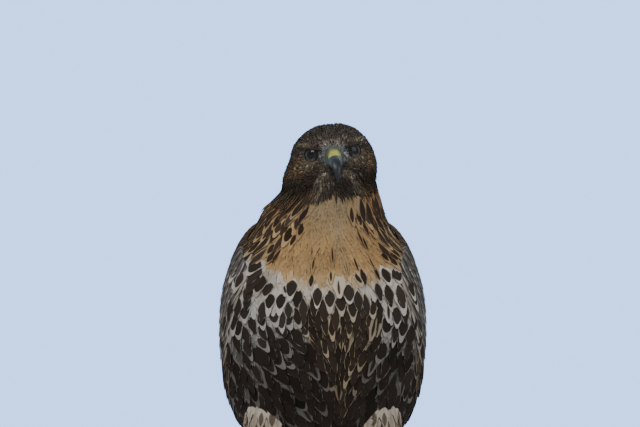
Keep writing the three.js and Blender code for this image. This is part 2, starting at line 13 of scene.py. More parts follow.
import bpy
import numpy as np
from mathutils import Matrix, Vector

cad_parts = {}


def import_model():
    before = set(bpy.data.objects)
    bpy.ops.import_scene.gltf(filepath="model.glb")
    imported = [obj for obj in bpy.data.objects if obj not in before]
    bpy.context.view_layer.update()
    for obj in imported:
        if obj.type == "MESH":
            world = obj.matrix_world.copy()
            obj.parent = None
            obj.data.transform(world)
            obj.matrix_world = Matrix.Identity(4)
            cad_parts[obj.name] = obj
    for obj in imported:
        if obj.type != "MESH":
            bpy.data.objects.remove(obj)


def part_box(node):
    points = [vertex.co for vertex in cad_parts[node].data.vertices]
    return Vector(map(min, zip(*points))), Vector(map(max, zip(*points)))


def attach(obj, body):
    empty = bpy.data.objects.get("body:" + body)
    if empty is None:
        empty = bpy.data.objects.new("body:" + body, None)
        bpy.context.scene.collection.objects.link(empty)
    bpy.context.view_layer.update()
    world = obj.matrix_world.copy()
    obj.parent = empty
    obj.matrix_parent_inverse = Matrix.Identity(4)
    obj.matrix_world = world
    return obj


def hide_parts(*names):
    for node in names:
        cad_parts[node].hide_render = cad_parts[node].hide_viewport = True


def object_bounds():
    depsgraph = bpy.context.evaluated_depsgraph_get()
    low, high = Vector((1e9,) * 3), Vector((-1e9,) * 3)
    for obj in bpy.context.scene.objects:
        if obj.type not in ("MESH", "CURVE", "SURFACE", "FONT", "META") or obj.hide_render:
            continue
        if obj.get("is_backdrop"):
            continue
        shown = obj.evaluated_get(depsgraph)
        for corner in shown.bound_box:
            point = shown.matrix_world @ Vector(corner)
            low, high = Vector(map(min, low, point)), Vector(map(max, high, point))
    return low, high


LOG = logging.getLogger("hawk")
BODY = "root"
SEED = 7

Array = np.ndarray
Node = bpy.types.Node
Socket = bpy.types.NodeSocket
Triple = tuple[float, float, float]  # a linear colour, or a point
Shape = tuple[Array, Array]  # points, and faces of four corners

SIDES = ((1, "left"), (-1, "right"))


# Small maths


def smoothstep(value: Array, low: float, high: float) -> Array:
    """An even step from 0 at low to 1 at high.

    Args:
        value: Numbers to step over.
        low: Where the step starts.
        high: Where the step ends.

    Returns:
        Three times the square less twice the cube of each number's share of the way.
    """
    share = np.clip((value - low) / (high - low), 0.0, 1.0)
    return share * share * (3.0 - 2.0 * share)


def mix(first: Array, second: Array, share: Array) -> Array:
    """The value a share of the way from first to second."""
    return first + (second - first) * share


def unit(vectors: Array) -> Array:
    """Vectors scaled to length one."""
    return vectors / np.maximum(np.linalg.norm(vectors, axis=-1, keepdims=True), 1e-9)


def dot(first: Array, second: Array) -> Array:
    """The scalar product along the last axis, which is kept."""
    return np.sum(first * second, axis=-1, keepdims=True)


def along(rows: Array, place: Array) -> Array:
    """A smooth curve through a list of rows.

    Args:
        rows: Row values, one row for each whole number.
        place: Where to read the curve, from 0 to the last row.

    Returns:
        The Catmull-Rom curve through the four rows around each place.
    """
    rows = np.asarray(rows, float)
    last = len(rows) - 1
    at = np.clip(place, 0.0, float(last))
    first = np.minimum(np.floor(at).astype(int), last - 1)
    t = at - first
    if rows.ndim > 1:
        t = t[..., None]
    p, q, r, s = (rows[np.clip(first + step, 0, last)] for step in (-1, 0, 1, 2))
    slope = (r - p) * t
    bend = (2 * p - 5 * q + 4 * r - s) * t**2
    twist = (3 * q - p - 3 * r + s) * t**3
    return 0.5 * (2 * q + slope + bend + twist)


def section_point(row: Array, angle: Array) -> Array:
    """A point of a cross-section that leans in the plane of forward and up.

    Args:
        row: Front y and z, back y and z, half width, shift sideways, and egg shape.
        angle: Angle round the section, 0 at the front and a quarter turn at +X.

    Returns:
        The front and back points carried round an ellipse, narrower in front by the egg shape.
    """
    c, s = np.cos(angle), np.sin(angle)
    y = (row[..., 0] + row[..., 2]) / 2 - (row[..., 2] - row[..., 0]) / 2 * c
    z = (row[..., 1] + row[..., 3]) / 2 - (row[..., 3] - row[..., 1]) / 2 * c
    return np.stack([row[..., 5] + row[..., 4] * s * (1 - row[..., 6] * c), y, z], axis=-1)


def turned_about_y(points: Array, degrees: Array) -> Array:
    """Points turned about the Y axis, by an angle of their own where degrees is an array."""
    a = np.radians(degrees)
    x = points[..., 0] * np.cos(a) + points[..., 2] * np.sin(a)
    z = points[..., 2] * np.cos(a) - points[..., 0] * np.sin(a)
    return np.stack([x, points[..., 1], z], axis=-1)


def turns(count: int) -> Array:
    """Angles evenly spaced round a whole turn, which is not closed."""
    return np.linspace(0, 2 * np.pi, count + 1)[:-1]


def ring_grid(low: float, high: float, rings: int, sides: int) -> list[Array]:
    """Two grids by ring and side: places from low to high, and angles round each ring."""
    return np.meshgrid(np.linspace(low, high, rings), turns(sides), indexing="ij")


def folded(points: Array) -> Array:
    """Points of the level head with its right side folded onto its left."""
    return np.concatenate([np.abs(points[..., :1]), points[..., 1:]], axis=-1)


def bell(gap: Array, reach: float) -> Array:
    """A bell that is 1 where the gap is 0 and about a third where it is the reach."""
    return np.exp(-((gap / reach) ** 2))


def dice(job: int) -> np.random.Generator:
    """The random numbers of one job, the same in each run."""
    return np.random.default_rng(SEED + job)


def length_of(vectors: Array) -> Array:
    """The length of each vector."""
    return np.linalg.norm(vectors, axis=-1)


def varied(chance: np.random.Generator, count: int, spread: float, low: float, high: float) -> Array:
    """Random factors about 1, kept between a low and a high one."""
    return chance.normal(1.0, spread, count).clip(low, high)


class Place:
    """Turns the bird's millimetres into metres in the frame."""

    shift = np.zeros(3)

    @classmethod
    def read(cls) -> None:
        """Finds how far the frame was moved, from where it holds the left eye."""
        low, high = (np.array(corner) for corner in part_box("eye_left"))
        cls.shift = (low + high) / 2 * 1000 - Head.eye_centre(1)
        cls.shift[[0, 2]] = 0.0

    @classmethod
    def metres(cls, points: Array) -> Array:
        """Points in metres, moved to the frame."""
        return (points + cls.shift) / 1000


# Surfaces of the bird


@dataclass
class Loft:
    """A body over leaning sections: place runs through the rows and angle round each section."""

    rows: Array
    offset: Array = field(default_factory=lambda: np.zeros(3))
    side: float = 1.0

    def bare(self, place: Array, angle: Array) -> Array:
        """A point of the surface, for places between the first and the last row."""
        point = section_point(along(self.rows, place), angle) + self.offset
        return point * np.array([self.side, 1.0, 1.0])

    def point(self, place: Array, angle: Array) -> Array:
        """A point of the surface, carried on in a straight line past either end."""
        inside = np.clip(place, 0.02, len(self.rows) - 1.02)
        step = 0.02
        base = self.bare(inside, angle)
        slope = (self.bare(inside + step, angle) - self.bare(inside - step, angle)) / (2 * step)
        return base + slope * (place - inside)[..., None]

    def frame(self, place: Array, angle: Array) -> tuple[Array, Array, Array, Array]:
        """The surface's point, its two slopes and its outward normal.

        Args:
            place: Place through the rows.
            angle: Angle round the section.

        Returns:
            Point, slope by place, slope by angle, and the unit normal.
        """
        step = 0.01
        by_place = (self.point(place + step, angle) - self.point(place - step, angle)) / (2 * step)
        by_angle = (self.point(place, angle + step) - self.point(place, angle - step)) / (2 * step)
        normal = unit(np.cross(by_angle, by_place)) * self.side
        return self.point(place, angle), by_place, by_angle, normal

    def lay(self, roots: "Roots", run: Array, across: Array, rise: Array) -> Array:
        """Lays flat shapes on the surface, each from its root along its own direction.

        A step of run and across in the root's tangent plane is solved into steps of place and
        angle, and the point there is raised along the normal.

        Args:
            roots: Where each shape starts and which way it lies.
            run: Distance from the root along the shape.
            across: Distance to the shape's side.
            rise: Height over the surface.

        Returns:
            The points, with the shape of run and one more axis.
        """
        _, by_place, by_angle, normal = self.frame(roots.place, roots.angle)
        ahead = unit(roots.lie - normal * dot(normal, roots.lie))
        side = np.cross(normal, ahead)
        pp, pa, aa = dot(by_place, by_place), dot(by_place, by_angle), dot(by_angle, by_angle)
        det = np.maximum(pp * aa - pa * pa, 1e-6)
        steps = []
        for way in (ahead, side):
            p, a = dot(by_place, way), dot(by_angle, way)
            steps.append(((aa * p - pa * a) / det, (pp * a - pa * p) / det))
        (run_p, run_a), (side_p, side_a) = steps
        spread = (slice(None),) + (None,) * (run.ndim - 1)
        place = roots.place[spread] + run_p[:, 0][spread] * run + side_p[:, 0][spread] * across
        angle = roots.angle[spread] + run_a[:, 0][spread] * run + side_a[:, 0][spread] * across
        point, _, _, lift = self.frame(place, angle)
        return point + lift * (rise + self.raised(place, angle))[..., None]

    def raised(self, place: Array, angle: Array) -> "Array | float":
        """How far what lies on the surface is raised there: not at all, on a plain loft."""
        return 0.0


class PerFeather:
    """Arrays that have one entry for each feather."""

    def only(self, keep: Array) -> "PerFeather":
        """The entries of the feathers for which keep is true."""
        return type(self)(*(value[keep] for value in vars(self).values()))


@dataclass
class Roots(PerFeather):
    """Where feathers grow: place and angle on a loft, the point itself, and the way they lie."""

    place: Array
    angle: Array
    point: Array
    normal: Array
    lie: Array

    def __len__(self) -> int:
        """The number of roots."""
        return len(self.place)


class Trunk(Loft):
    """The bird's outline from the tail root up to the crown, with the head's lean."""

    ROWS = np.array([
        [104, 116, 108, 124, 7, 0, 0],
        [86, 108, 104, 146, 28, 0, 0],
        [48, 106, 92, 180, 52, 0, 0],
        [5, 116, 80, 214, 68, 0, 0],
        [-38, 138, 68, 245, 77, 0, 0],
        [-70, 174, 56, 272, 79.5, 0, 0],
        [-84, 217, 44, 295, 77, 0, 0.02],
        [-82, 258, 32, 314, 69, 0, 0.04],
        [-69, 292, 22, 331, 56.5, 0, 0.05],
        [-56, 318, 16, 346, 48.5, 0.2, 0.06],
        [-51, 338, 16, 356, 40.8, 2, 0.08],
        [-53, 352, 15, 368, 39.8, 4.8, 0.12],
        [-56, 366, 12, 380, 35.6, 7.4, 0.16],
        [-55, 379, 5, 390, 30.8, 7.2, 0.14],
        [-47, 390, -7, 397.5, 22, 7.6, 0.06],
        [-36, 397, -18, 400.8, 11, 7.8, 0],
    ], float)
    TURN_FROM, HEAD_FROM = 8.5, 10.0
    FLANK_RISE = 6.4

    def __init__(self) -> None:
        """The trunk from its own rows."""
        super().__init__(self.ROWS)

    def bare(self, place: Array, angle: Array) -> Array:
        """A point of the outline, turned with the head from the neck up."""
        point = section_point(along(self.rows, place), angle) - Head.EYES_MID
        share = smoothstep(place, self.TURN_FROM, self.HEAD_FROM)
        return turned_about_y(point, Head.ROLL * share) + Head.EYES_MID

    @staticmethod
    def past_edge(place: Array, angle: Array) -> tuple[Array, Array]:
        """How far a place of the trunk lies between the folded wing's two edges.

        Args:
            place: Place through the rows.
            angle: Angle round the section.

        Returns:
            Degrees past the wing's front edge, and degrees short of its back one.
        """
        turn = np.degrees(np.abs(np.mod(angle + np.pi, 2 * np.pi) - np.pi))
        s = np.linspace(0, 1, 60) * (len(WingSurface.EDGE_LOW) - 1)
        edges = (WingSurface.PLACE_LOW, WingSurface.EDGE_LOW), (WingSurface.PLACE_HIGH, WingSurface.EDGE_HIGH)
        front, back = (np.interp(place, along(at, s)[::-1], along(edge, s)[::-1]) for at, edge in edges)
        return turn - front, back - turn

    def raised(self, place: Array, angle: Array) -> Array:
        """Raised over the wing's front edge, so that flank feathers lie over the wing."""
        past, _ = self.past_edge(place, angle)
        over = smoothstep(past, -16, 5) * smoothstep(40 - past, 0, 14)
        return self.FLANK_RISE * over * smoothstep(7.9 - place, 0, 1.2)


class Head:
    """The head: its turn, its brows and sockets, and its surface seen from its middle."""

    EYES_MID = np.array([7.6, -30.0, 374.0])
    MIDDLE = np.array([7.4, -22.0, 368.0])
    ROLL, PITCH, YAW = -6.3, 8.0, 2.0
    EYE_RADIUS, EYE_SPACING, EYE_BACK, EYE_LOOK = 9.5, 13.8, -12.0, 40.0
    BROW = np.array([[7, -27, 5.6], [15, -25, 6.6], [22, -18, 8.0], [27, -6, 9.2]], float)
    BROW_HEIGHT, BROW_REACH = 3.8, 3.2
    CHEEK, CHEEK_HEIGHT, CHEEK_REACH = np.array([25.0, -8.0, -15.0]), 1.6, 10.0
    SOCKET, SOCKET_DEPTH, SOCKET_REACH = np.array([19.8, -19.0, -0.5]), 2.2, 6.5

    def __init__(self, trunk: Trunk) -> None:
        """Measures the trunk's outline from the head's middle into a table of distances."""
        self.azimuths = np.linspace(-np.pi, np.pi, 181)
        self.heights = np.linspace(-1.1, np.pi / 2, 121)
        places = np.linspace(8.6, 15.0, 129)
        angles = np.linspace(0, 2 * np.pi, 241)[:-1]
        points = trunk.bare(*np.meshgrid(places, angles, indexing="ij")) - self.MIDDLE
        reach = length_of(points)
        azimuth = np.arctan2(points[..., 0], -points[..., 1])
        height = np.arcsin(points[..., 2] / reach)
        rows_height, rows_reach = [], []
        for row in range(len(places)):
            order = np.argsort(azimuth[row])
            known = azimuth[row][order]
            rows_height.append(np.interp(self.azimuths, known, height[row][order], period=2 * np.pi))
            rows_reach.append(np.interp(self.azimuths, known, reach[row][order], period=2 * np.pi))
        rows_height, rows_reach = np.array(rows_height), np.array(rows_reach)
        columns = [
            np.interp(self.heights, rows_height[:, k], rows_reach[:, k]) for k in range(len(self.azimuths))
        ]
        self.table = np.array(columns)

    @classmethod
    def turn(cls) -> Array:
        """The matrix that turns the head to its left, pitches it down and leans it to its right."""
        p, r, w = math.radians(cls.PITCH), math.radians(cls.ROLL), math.radians(cls.YAW)
        yaw = np.array([[math.cos(w), -math.sin(w), 0], [math.sin(w), math.cos(w), 0], [0, 0, 1]])
        pitch = np.array([[1, 0, 0], [0, math.cos(p), -math.sin(p)], [0, math.sin(p), math.cos(p)]])
        roll = np.array([[math.cos(r), 0, math.sin(r)], [0, 1, 0], [-math.sin(r), 0, math.cos(r)]])
        return roll @ pitch @ yaw

    @classmethod
    def placed(cls, points: Array) -> Array:
        """Points of a level head that faces -Y, put in place on the bird."""
        return points @ cls.turn().T + cls.EYES_MID

    @classmethod
    def level(cls, points: Array) -> Array:
        """Points of the bird, in the frame of the level head."""
        return (points - cls.EYES_MID) @ cls.turn()

    @classmethod
    def eye_centre(cls, side: int) -> Array:
        """The centre of one eye, side 1 for the left and -1 for the right."""
        return cls.placed(np.array([side * cls.EYE_SPACING, cls.EYE_BACK, 0.0]))

    @classmethod
    def look(cls, side: int) -> tuple[Array, Array]:
        """The way that one eye of the level head looks, and the level way across it."""
        a = math.radians(cls.EYE_LOOK) * side
        return np.array([math.sin(a), -math.cos(a), 0.0]), np.array([math.cos(a), math.sin(a), 0.0])

    def swelling(self, points: Array) -> Array:
        """How far brows and cheeks stand out and the eyes' sockets lie in.

        Each is a bell over the distance from a line or a point of the level head.

        Args:
            points: Points of the bird.

        Returns:
            A height for each point, below 0 in the sockets.
        """
        level = folded(self.level(points))
        nearest = np.full(level.shape[:-1], np.inf)
        for start, end in zip(self.BROW[:-1], self.BROW[1:]):
            span = end - start
            share = np.clip(dot(level - start, span)[..., 0] / (span @ span), 0, 1)
            gap = length_of(level - start - share[..., None] * span)
            nearest = np.minimum(nearest, gap)
        brow = self.BROW_HEIGHT * bell(nearest, self.BROW_REACH)
        cheek = self.CHEEK_HEIGHT * bell(length_of(level - self.CHEEK), self.CHEEK_REACH)
        socket = self.SOCKET_DEPTH * bell(length_of(level - self.SOCKET), self.SOCKET_REACH)
        return brow + cheek - socket

    def reach(self, directions: Array) -> Array:
        """The distance from the head's middle to its outline in given unit directions."""
        azimuth = np.arctan2(directions[..., 0], -directions[..., 1])
        height = np.arcsin(np.clip(directions[..., 2], -1, 1))
        x = (azimuth + np.pi) / (2 * np.pi) * (len(self.azimuths) - 1)
        y = (height - self.heights[0]) / (self.heights[-1] - self.heights[0]) * (len(self.heights) - 1)
        x = np.clip(x, 0, len(self.azimuths) - 1.001)
        y = np.clip(y, 0, len(self.heights) - 1.001)
        i, j = x.astype(int), y.astype(int)
        u, v = x - i, y - j
        low = mix(self.table[i, j], self.table[i + 1, j], u)
        high = mix(self.table[i, j + 1], self.table[i + 1, j + 1], u)
        return mix(low, high, v)

    def outward(self, way: Array, rise: "Array | float" = 0.0) -> Array:
        """The head's surface in unit directions from its middle, raised by a height."""
        base = self.MIDDLE + way * self.reach(way)[..., None]
        return base + way * (self.swelling(base) + rise)[..., None]

    def lay(self, roots: Roots, run: Array, across: Array, rise: Array) -> Array:
        """Lays flat shapes on the head, each from its root along its own direction.

        Their points in the tangent plane are drawn to the surface along the line from the
        head's middle, and raised.
        Args:
            roots: Where each shape starts and which way it lies.
            run: Distance from the root along the shape.
            across: Distance to the shape's side.
            rise: Height over the surface.

        Returns:
            The points, with the shape of run and one more axis.
        """
        ahead = unit(roots.lie - roots.normal * dot(roots.normal, roots.lie))
        side = np.cross(roots.normal, ahead)
        spread = (slice(None),) + (None,) * (run.ndim - 1)
        flat = roots.point[spread] + ahead[spread] * run[..., None] + side[spread] * across[..., None]
        return self.outward(unit(flat - self.MIDDLE), rise)


class WingSurface:
    """The folded wing's own surface: s from wrist to tip, t from its leading edge to the back."""

    WRAP = np.array([
        [250, -12, 252, 23, 22, 0, 0],
        [220, 4, 226, 43, 27, 0, 0],
        [186, 24, 196, 65, 32, 0, 0],
        [152, 46, 167, 88, 37, 0, 0],
        [118, 68, 142, 112, 43, 0, 0],
        [84, 92, 119, 148, 51, 0, 0],
        [46, 106, 98, 183, 60, 0, 0],
    ], float)
    WRAP_START = -4
    EDGE_LOW = np.array([58, 68, 80, 92, 112, 128], float)
    EDGE_HIGH = np.array([128, 160, 171, 173, 168, 156], float)
    PLACE_LOW = np.array([7.0, 5.1, 3.0, 0.9, -1.5, -3.75])
    PLACE_HIGH = np.array([8.1, 6.2, 3.9, 1.6, -1.2, -3.6])

    def __init__(self, side: int) -> None:
        """The surface of one wing, side 1 for the left and -1 for the right."""
        self.side = side
        self.rows = np.vstack([self.WRAP, Trunk.ROWS[self.WRAP_START + len(self.WRAP) :]])

    def bare(self, s: Array, t: Array) -> Array:
        """A point of the surface: an edge's angle and place are read along both edges and
        mixed by t, and the wrapped outline is read there."""
        steps = len(self.EDGE_LOW) - 1
        place = mix(along(self.PLACE_LOW, s * steps), along(self.PLACE_HIGH, s * steps), t)
        angle = mix(along(self.EDGE_LOW, s * steps), along(self.EDGE_HIGH, s * steps), t)
        return section_point(along(self.rows, place - self.WRAP_START), np.radians(angle))

    def reach(self, s: Array, t: Array) -> Array:
        """How many millimetres one unit of t is worth."""
        return length_of(self.bare(s, t + 0.05) - self.bare(s, t - 0.05)) * 10

    def point(self, s: Array, t: Array, height: Array) -> Array:
        """A point at a height over the surface, on this wing's side of the bird."""
        step = 0.01
        ds = self.bare(s + step, t) - self.bare(s - step, t)
        dt = self.bare(s, t + step) - self.bare(s, t - step)
        point = self.bare(s, t) + unit(np.cross(ds, dt)) * np.asarray(height)[..., None]
        return point * np.array([self.side, 1.0, 1.0])


class TailSurface:
    """The tail's own surface: s in millimetres from its root, t across it."""

    ROOT = np.array([0.0, 88.0, 128.0])
    SLOPE, ARCH = 37.0, 3.4
    FLOOR_GAP = 1.2

    def reach(self, s: Array, t: Array) -> Array:
        """One unit of t is one millimetre."""
        return np.ones(np.broadcast(s, t).shape)

    def point(self, s: Array, t: Array, height: Array) -> Array:
        """A point at a height over the arched fan."""
        a = math.radians(self.SLOPE)
        ahead = np.array([0.0, math.cos(a), -math.sin(a)])
        up = np.array([0.0, math.sin(a), math.cos(a)])
        rise = height - self.ARCH * (t / 30) ** 2
        side = np.stack([t, np.zeros_like(t), np.zeros_like(t)], axis=-1)
        point = self.ROOT + ahead * s[..., None] + up * rise[..., None] + side
        low = point[..., 2] < self.FLOOR_GAP
        eased = self.FLOOR_GAP * np.exp(np.minimum(point[..., 2] / self.FLOOR_GAP - 1.0, 0.0))
        point[..., 2] = np.where(low, eased, point[..., 2])
        return point


# Making meshes


@dataclass
class Piece:
    """A mesh in the making: points in millimetres, four-sided faces and what goes with them."""

    name: str
    points: Array
    faces: Array
    finish: "Finish"
    slot: str
    replaces: tuple[str, ...] = ()
    bake: Array | None = None
    fields: dict[str, Array] = field(default_factory=dict)
    rim: Array | None = None

    def build(self) -> bpy.types.Object:
        """Makes the object, with its attributes, its material and its place on the bird.

        Returns:
            The new object, riding on the bird's body.
        """
        mesh = bpy.data.meshes.new(self.name)
        count, corners = self.faces.shape
        mesh.vertices.add(len(self.points))
        mesh.vertices.foreach_set("co", Place.metres(self.points).astype(np.float32).ravel())
        mesh.loops.add(count * corners)
        mesh.loops.foreach_set("vertex_index", self.faces.astype(np.int32).ravel())
        mesh.polygons.add(count)
        mesh.polygons.foreach_set("loop_start", np.arange(0, count * corners, corners, dtype=np.int32))
        mesh.update(calc_edges=True)
        mesh.shade_smooth()
        for name, values in self.fields.items():
            size = 1 if values.ndim == 1 else values.shape[1]
            kind, key = {
                1: ("FLOAT", "value"), 3: ("FLOAT_VECTOR", "vector"), 4: ("FLOAT_COLOR", "color"),
            }[size]
            attribute = mesh.attributes.new(name, kind, "POINT")
            attribute.data.foreach_set(key, values.astype(np.float32).ravel())
        if self.bake is not None:
            layer = mesh.uv_layers.new(name="OFBake")
            layer.uv.foreach_set("vector", self.bake[self.faces.ravel()].astype(np.float32).ravel())
        if self.rim is not None:
            ends = np.zeros(len(mesh.edges) * 2, np.int32)
            mesh.edges.foreach_get("vertices", ends)
            sharp = self.rim[ends.reshape(-1, 2)].all(axis=1)
            mesh.attributes.new("sharp_edge", "BOOLEAN", "EDGE").data.foreach_set("value", sharp)
        mesh.materials.append(self.finish.material())
        piece = bpy.data.objects.new(self.name, mesh)
        bpy.context.scene.collection.objects.link(piece)
        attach(piece, BODY)
        self.slot
        if self.replaces:
            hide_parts(*self.replaces)
        LOG.info("%s: %d triangles", self.name, count * (corners - 2))
        return piece


def tube_faces(rings: int, sides: int) -> Array:
    """Faces of a tube of rings, whose ends are rings drawn together to a point.

    Args:
        rings: Number of rings along the tube.
        sides: Number of points in a ring.

    Returns:
        Four-sided faces that point outwards where the rings run against the clock.
    """
    i, j = np.meshgrid(np.arange(rings - 1), np.arange(sides), indexing="ij")
    k = (j + 1) % sides
    quads = np.stack([i * sides + j, i * sides + k, (i + 1) * sides + k, (i + 1) * sides + j], -1)
    return quads.reshape(-1, 4)


def signed_volume(points: Array, faces: Array) -> float:
    """Six times the volume that four-sided faces enclose, below 0 where they point inwards."""
    a, b, c, d = (points[faces[:, k]] for k in range(4))
    return float(np.sum(dot(a, np.cross(b, c)) + dot(a, np.cross(c, d))))


def joined(shapes: list[Shape]) -> Shape:
    """Several closed shapes as one list of points and faces, each turned the right way out.

    Args:
        shapes: Pairs of points and four-sided faces.

    Returns:
        All points and all faces.
    """
    points, faces, start = [], [], 0
    for shape_points, shape_faces in shapes:
        if signed_volume(shape_points, shape_faces) < 0:
            shape_faces = shape_faces[:, ::-1]
        points.append(shape_points)
        faces.append(shape_faces + start)
        start += len(shape_points)
    return np.vstack(points), np.vstack(faces)


def closed_tube(rings: Array) -> Shape:
    """A tube through rings of points, with each end drawn to its middle by a fan.

    Args:
        rings: Points by ring and by place round the ring, an even number to a ring.

    Returns:
        Points, and four-sided faces in one sense all over.
    """
    count, sides = rings.shape[:2]
    points = np.vstack([rings.reshape(-1, 3), rings[0].mean(0), rings[-1].mean(0)])
    j = np.arange(0, sides, 2)
    near = np.stack([np.full_like(j, count * sides), (j + 2) % sides, j + 1, j], -1)
    last = (count - 1) * sides
    far = np.stack([np.full_like(j, count * sides + 1), last + j, last + j + 1, last + (j + 2) % sides], -1)
    return points, np.vstack([tube_faces(count, sides), near, far])


def ring_tube(rings: Array) -> Shape:
    """A tube whose last ring joins its first, with faces in one sense all over."""
    count, sides = rings.shape[:2]
    i, j = np.meshgrid(np.arange(count), np.arange(sides), indexing="ij")
    k, m = (i + 1) % count, (j + 1) % sides
    faces = np.stack([i * sides + j, i * sides + m, k * sides + m, k * sides + j], -1)
    return rings.reshape(-1, 3), faces.reshape(-1, 4)


def rod(path: Array, radii: Array, rings: int, sides: int, flat: float = 1.0) -> Shape:
    """A smooth rod: circles square to a curve through the path, with radii mixed along it.

    Args:
        path: Points that the middle line runs through.
        radii: Radius at each of some evenly spaced places.
        rings: Number of circles.
        sides: Points in a circle.
        flat: Height of a circle as a share of its width.

    Returns:
        Points and faces of the closed rod.
    """
    place = np.linspace(0, 1, rings)
    at, small = place * (len(path) - 1), 0.02
    ahead = unit(along(path, at + small) - along(path, at - small))
    side = unit(np.cross(ahead, [0.0, 0.0, 1.0]))
    up = np.cross(side, ahead)
    radius = along(radii, place * (len(radii) - 1))[:, None, None]
    angle = turns(sides)[None, :, None]
    ring = side[:, None] * np.cos(angle) + up[:, None] * np.sin(angle) * flat
    return closed_tube(along(path, at)[:, None] + ring * radius)


def leaning_rings(rows: tuple, low: float, high: float, rings: int, sides: int) -> Array:
    """Rings over sections, each an ellipse that leans from its lower edge to its ridge.

    Args:
        rows: Front y and z, back y and z, and half width of each section.
        low: Place of the first ring through the rows.
        high: Place of the last ring.
        rings: Number of rings.
        sides: Points in a ring.

    Returns:
        Points by ring and side.
    """
    place, angle = ring_grid(low, high, rings, sides)
    return section_point(along(np.array([[*row, 0.0, 0.0] for row in rows], float), place), angle)


def swollen(rings: Array, height: Array) -> Array:
    """Rings whose points are moved out from their ring's middle by a height of their own."""
    return rings + unit(rings - rings.mean(axis=1, keepdims=True)) * height[..., None]


# Feathers


@dataclass(frozen=True)
class VaneShape:
    """The outline of one kind of feather and how finely it is meshed.

    A vane is a thin closed lens: u runs across it from -1 to 1 and v from root to tip.
    """

    rows: int = 6
    columns: int = 4
    narrow: float = 0.45
    round: float = 0.30
    fringe: float = 0.05
    camber: float = 0.18
    thick: float = 0.14

    def grid(self) -> tuple[Array, Array, Array, Array, Array]:
        """The grid of one vane.

        Returns:
            u, v, the side (1 above, -1 below, 0 on the rim), faces, and which points are rim.
        """
        lengths, widths = np.linspace(0, 1, self.rows + 1), np.linspace(-1, 1, self.columns + 1)
        v, u = np.meshgrid(lengths, widths, indexing="ij")
        top = np.arange(v.size).reshape(v.shape)
        inner = np.zeros(v.shape, bool)
        inner[1:-1, 1:-1] = True
        under = top.copy()
        under[inner] = v.size + np.arange(inner.sum())
        quads = []
        for layer, turn in ((top, 1), (under, -1)):
            a, b, c, d = layer[:-1, :-1], layer[1:, :-1], layer[1:, 1:], layer[:-1, 1:]
            quads.append(np.stack([a, b, c, d], -1).reshape(-1, 4)[:, ::turn])
        side = np.concatenate([np.where(inner, 1.0, 0.0).ravel(), -np.ones(inner.sum())])
        rim = np.concatenate([~inner.ravel(), np.zeros(inner.sum(), bool)])
        us, vs = (np.concatenate([w.ravel(), w[inner]]) for w in (u, v))
        return us, vs, side, np.vstack(quads), rim

    def outline(self, u: Array, v: Array, seed: Array) -> tuple[Array, Array]:
        """Shares of the length and of the half width at a point of the vane.

        The tip is rounded by drawing v back as the 2.4th power of u, and frayed by drawing
        single columns back by a wave of their own; the width swells from narrow to full and
        closes again over the tip.

        Args:
            u: Place across.
            v: Place along.
            seed: A number of each feather's own.

        Returns:
            Share of the length, and share of half the width with its sign.
        """
        wave = np.abs(np.sin(u * 37.0 + seed * 91.0))
        run = v * (1 - self.round * np.abs(u) ** 2.4 * v - self.fringe * wave * v**4)
        wide = self.narrow + (1 - self.narrow) * smoothstep(v, 0.0, 0.5)
        return run, u * wide * (1 - 0.35 * smoothstep(v, 0.7, 1.0))


def tiled(values: Array, count: int) -> Array:
    """The values of each feather repeated for each of its points, as rows."""
    return np.repeat(values[:, None], count, axis=1).reshape(len(values) * count, -1)


def repeated(faces: Array, count: int, size: int) -> Array:
    """The faces of a number of feathers, each of which has size points."""
    return (faces[None] + np.arange(count)[:, None, None] * size).reshape(-1, 4)


@dataclass
class Marks(PerFeather):
    """What is drawn on each feather: its colours, and the shape of its dark middle."""

    ground: Array
    mark: Array
    strength: Array
    form: Array

    def carried(self, u: Array, v: Array, seeds: Array) -> dict[str, Array]:
        """What the mesh carries for the material.

        Args:
            u: Place across one vane, point by point.
            v: Place along it.
            seeds: A number of each feather's own.

        Returns:
            The values of all points by the attribute's name.
        """
        count, size = len(seeds), len(u)
        return {
            "ground": tiled(np.hstack([self.ground, np.ones((count, 1))]), size),
            "mark": tiled(np.hstack([self.mark, self.strength[:, None]]), size),
            "form": tiled(self.form, size),
            "vane": np.stack([np.tile(u, count), np.tile(v, count), np.repeat(seeds, size)], -1),
        }


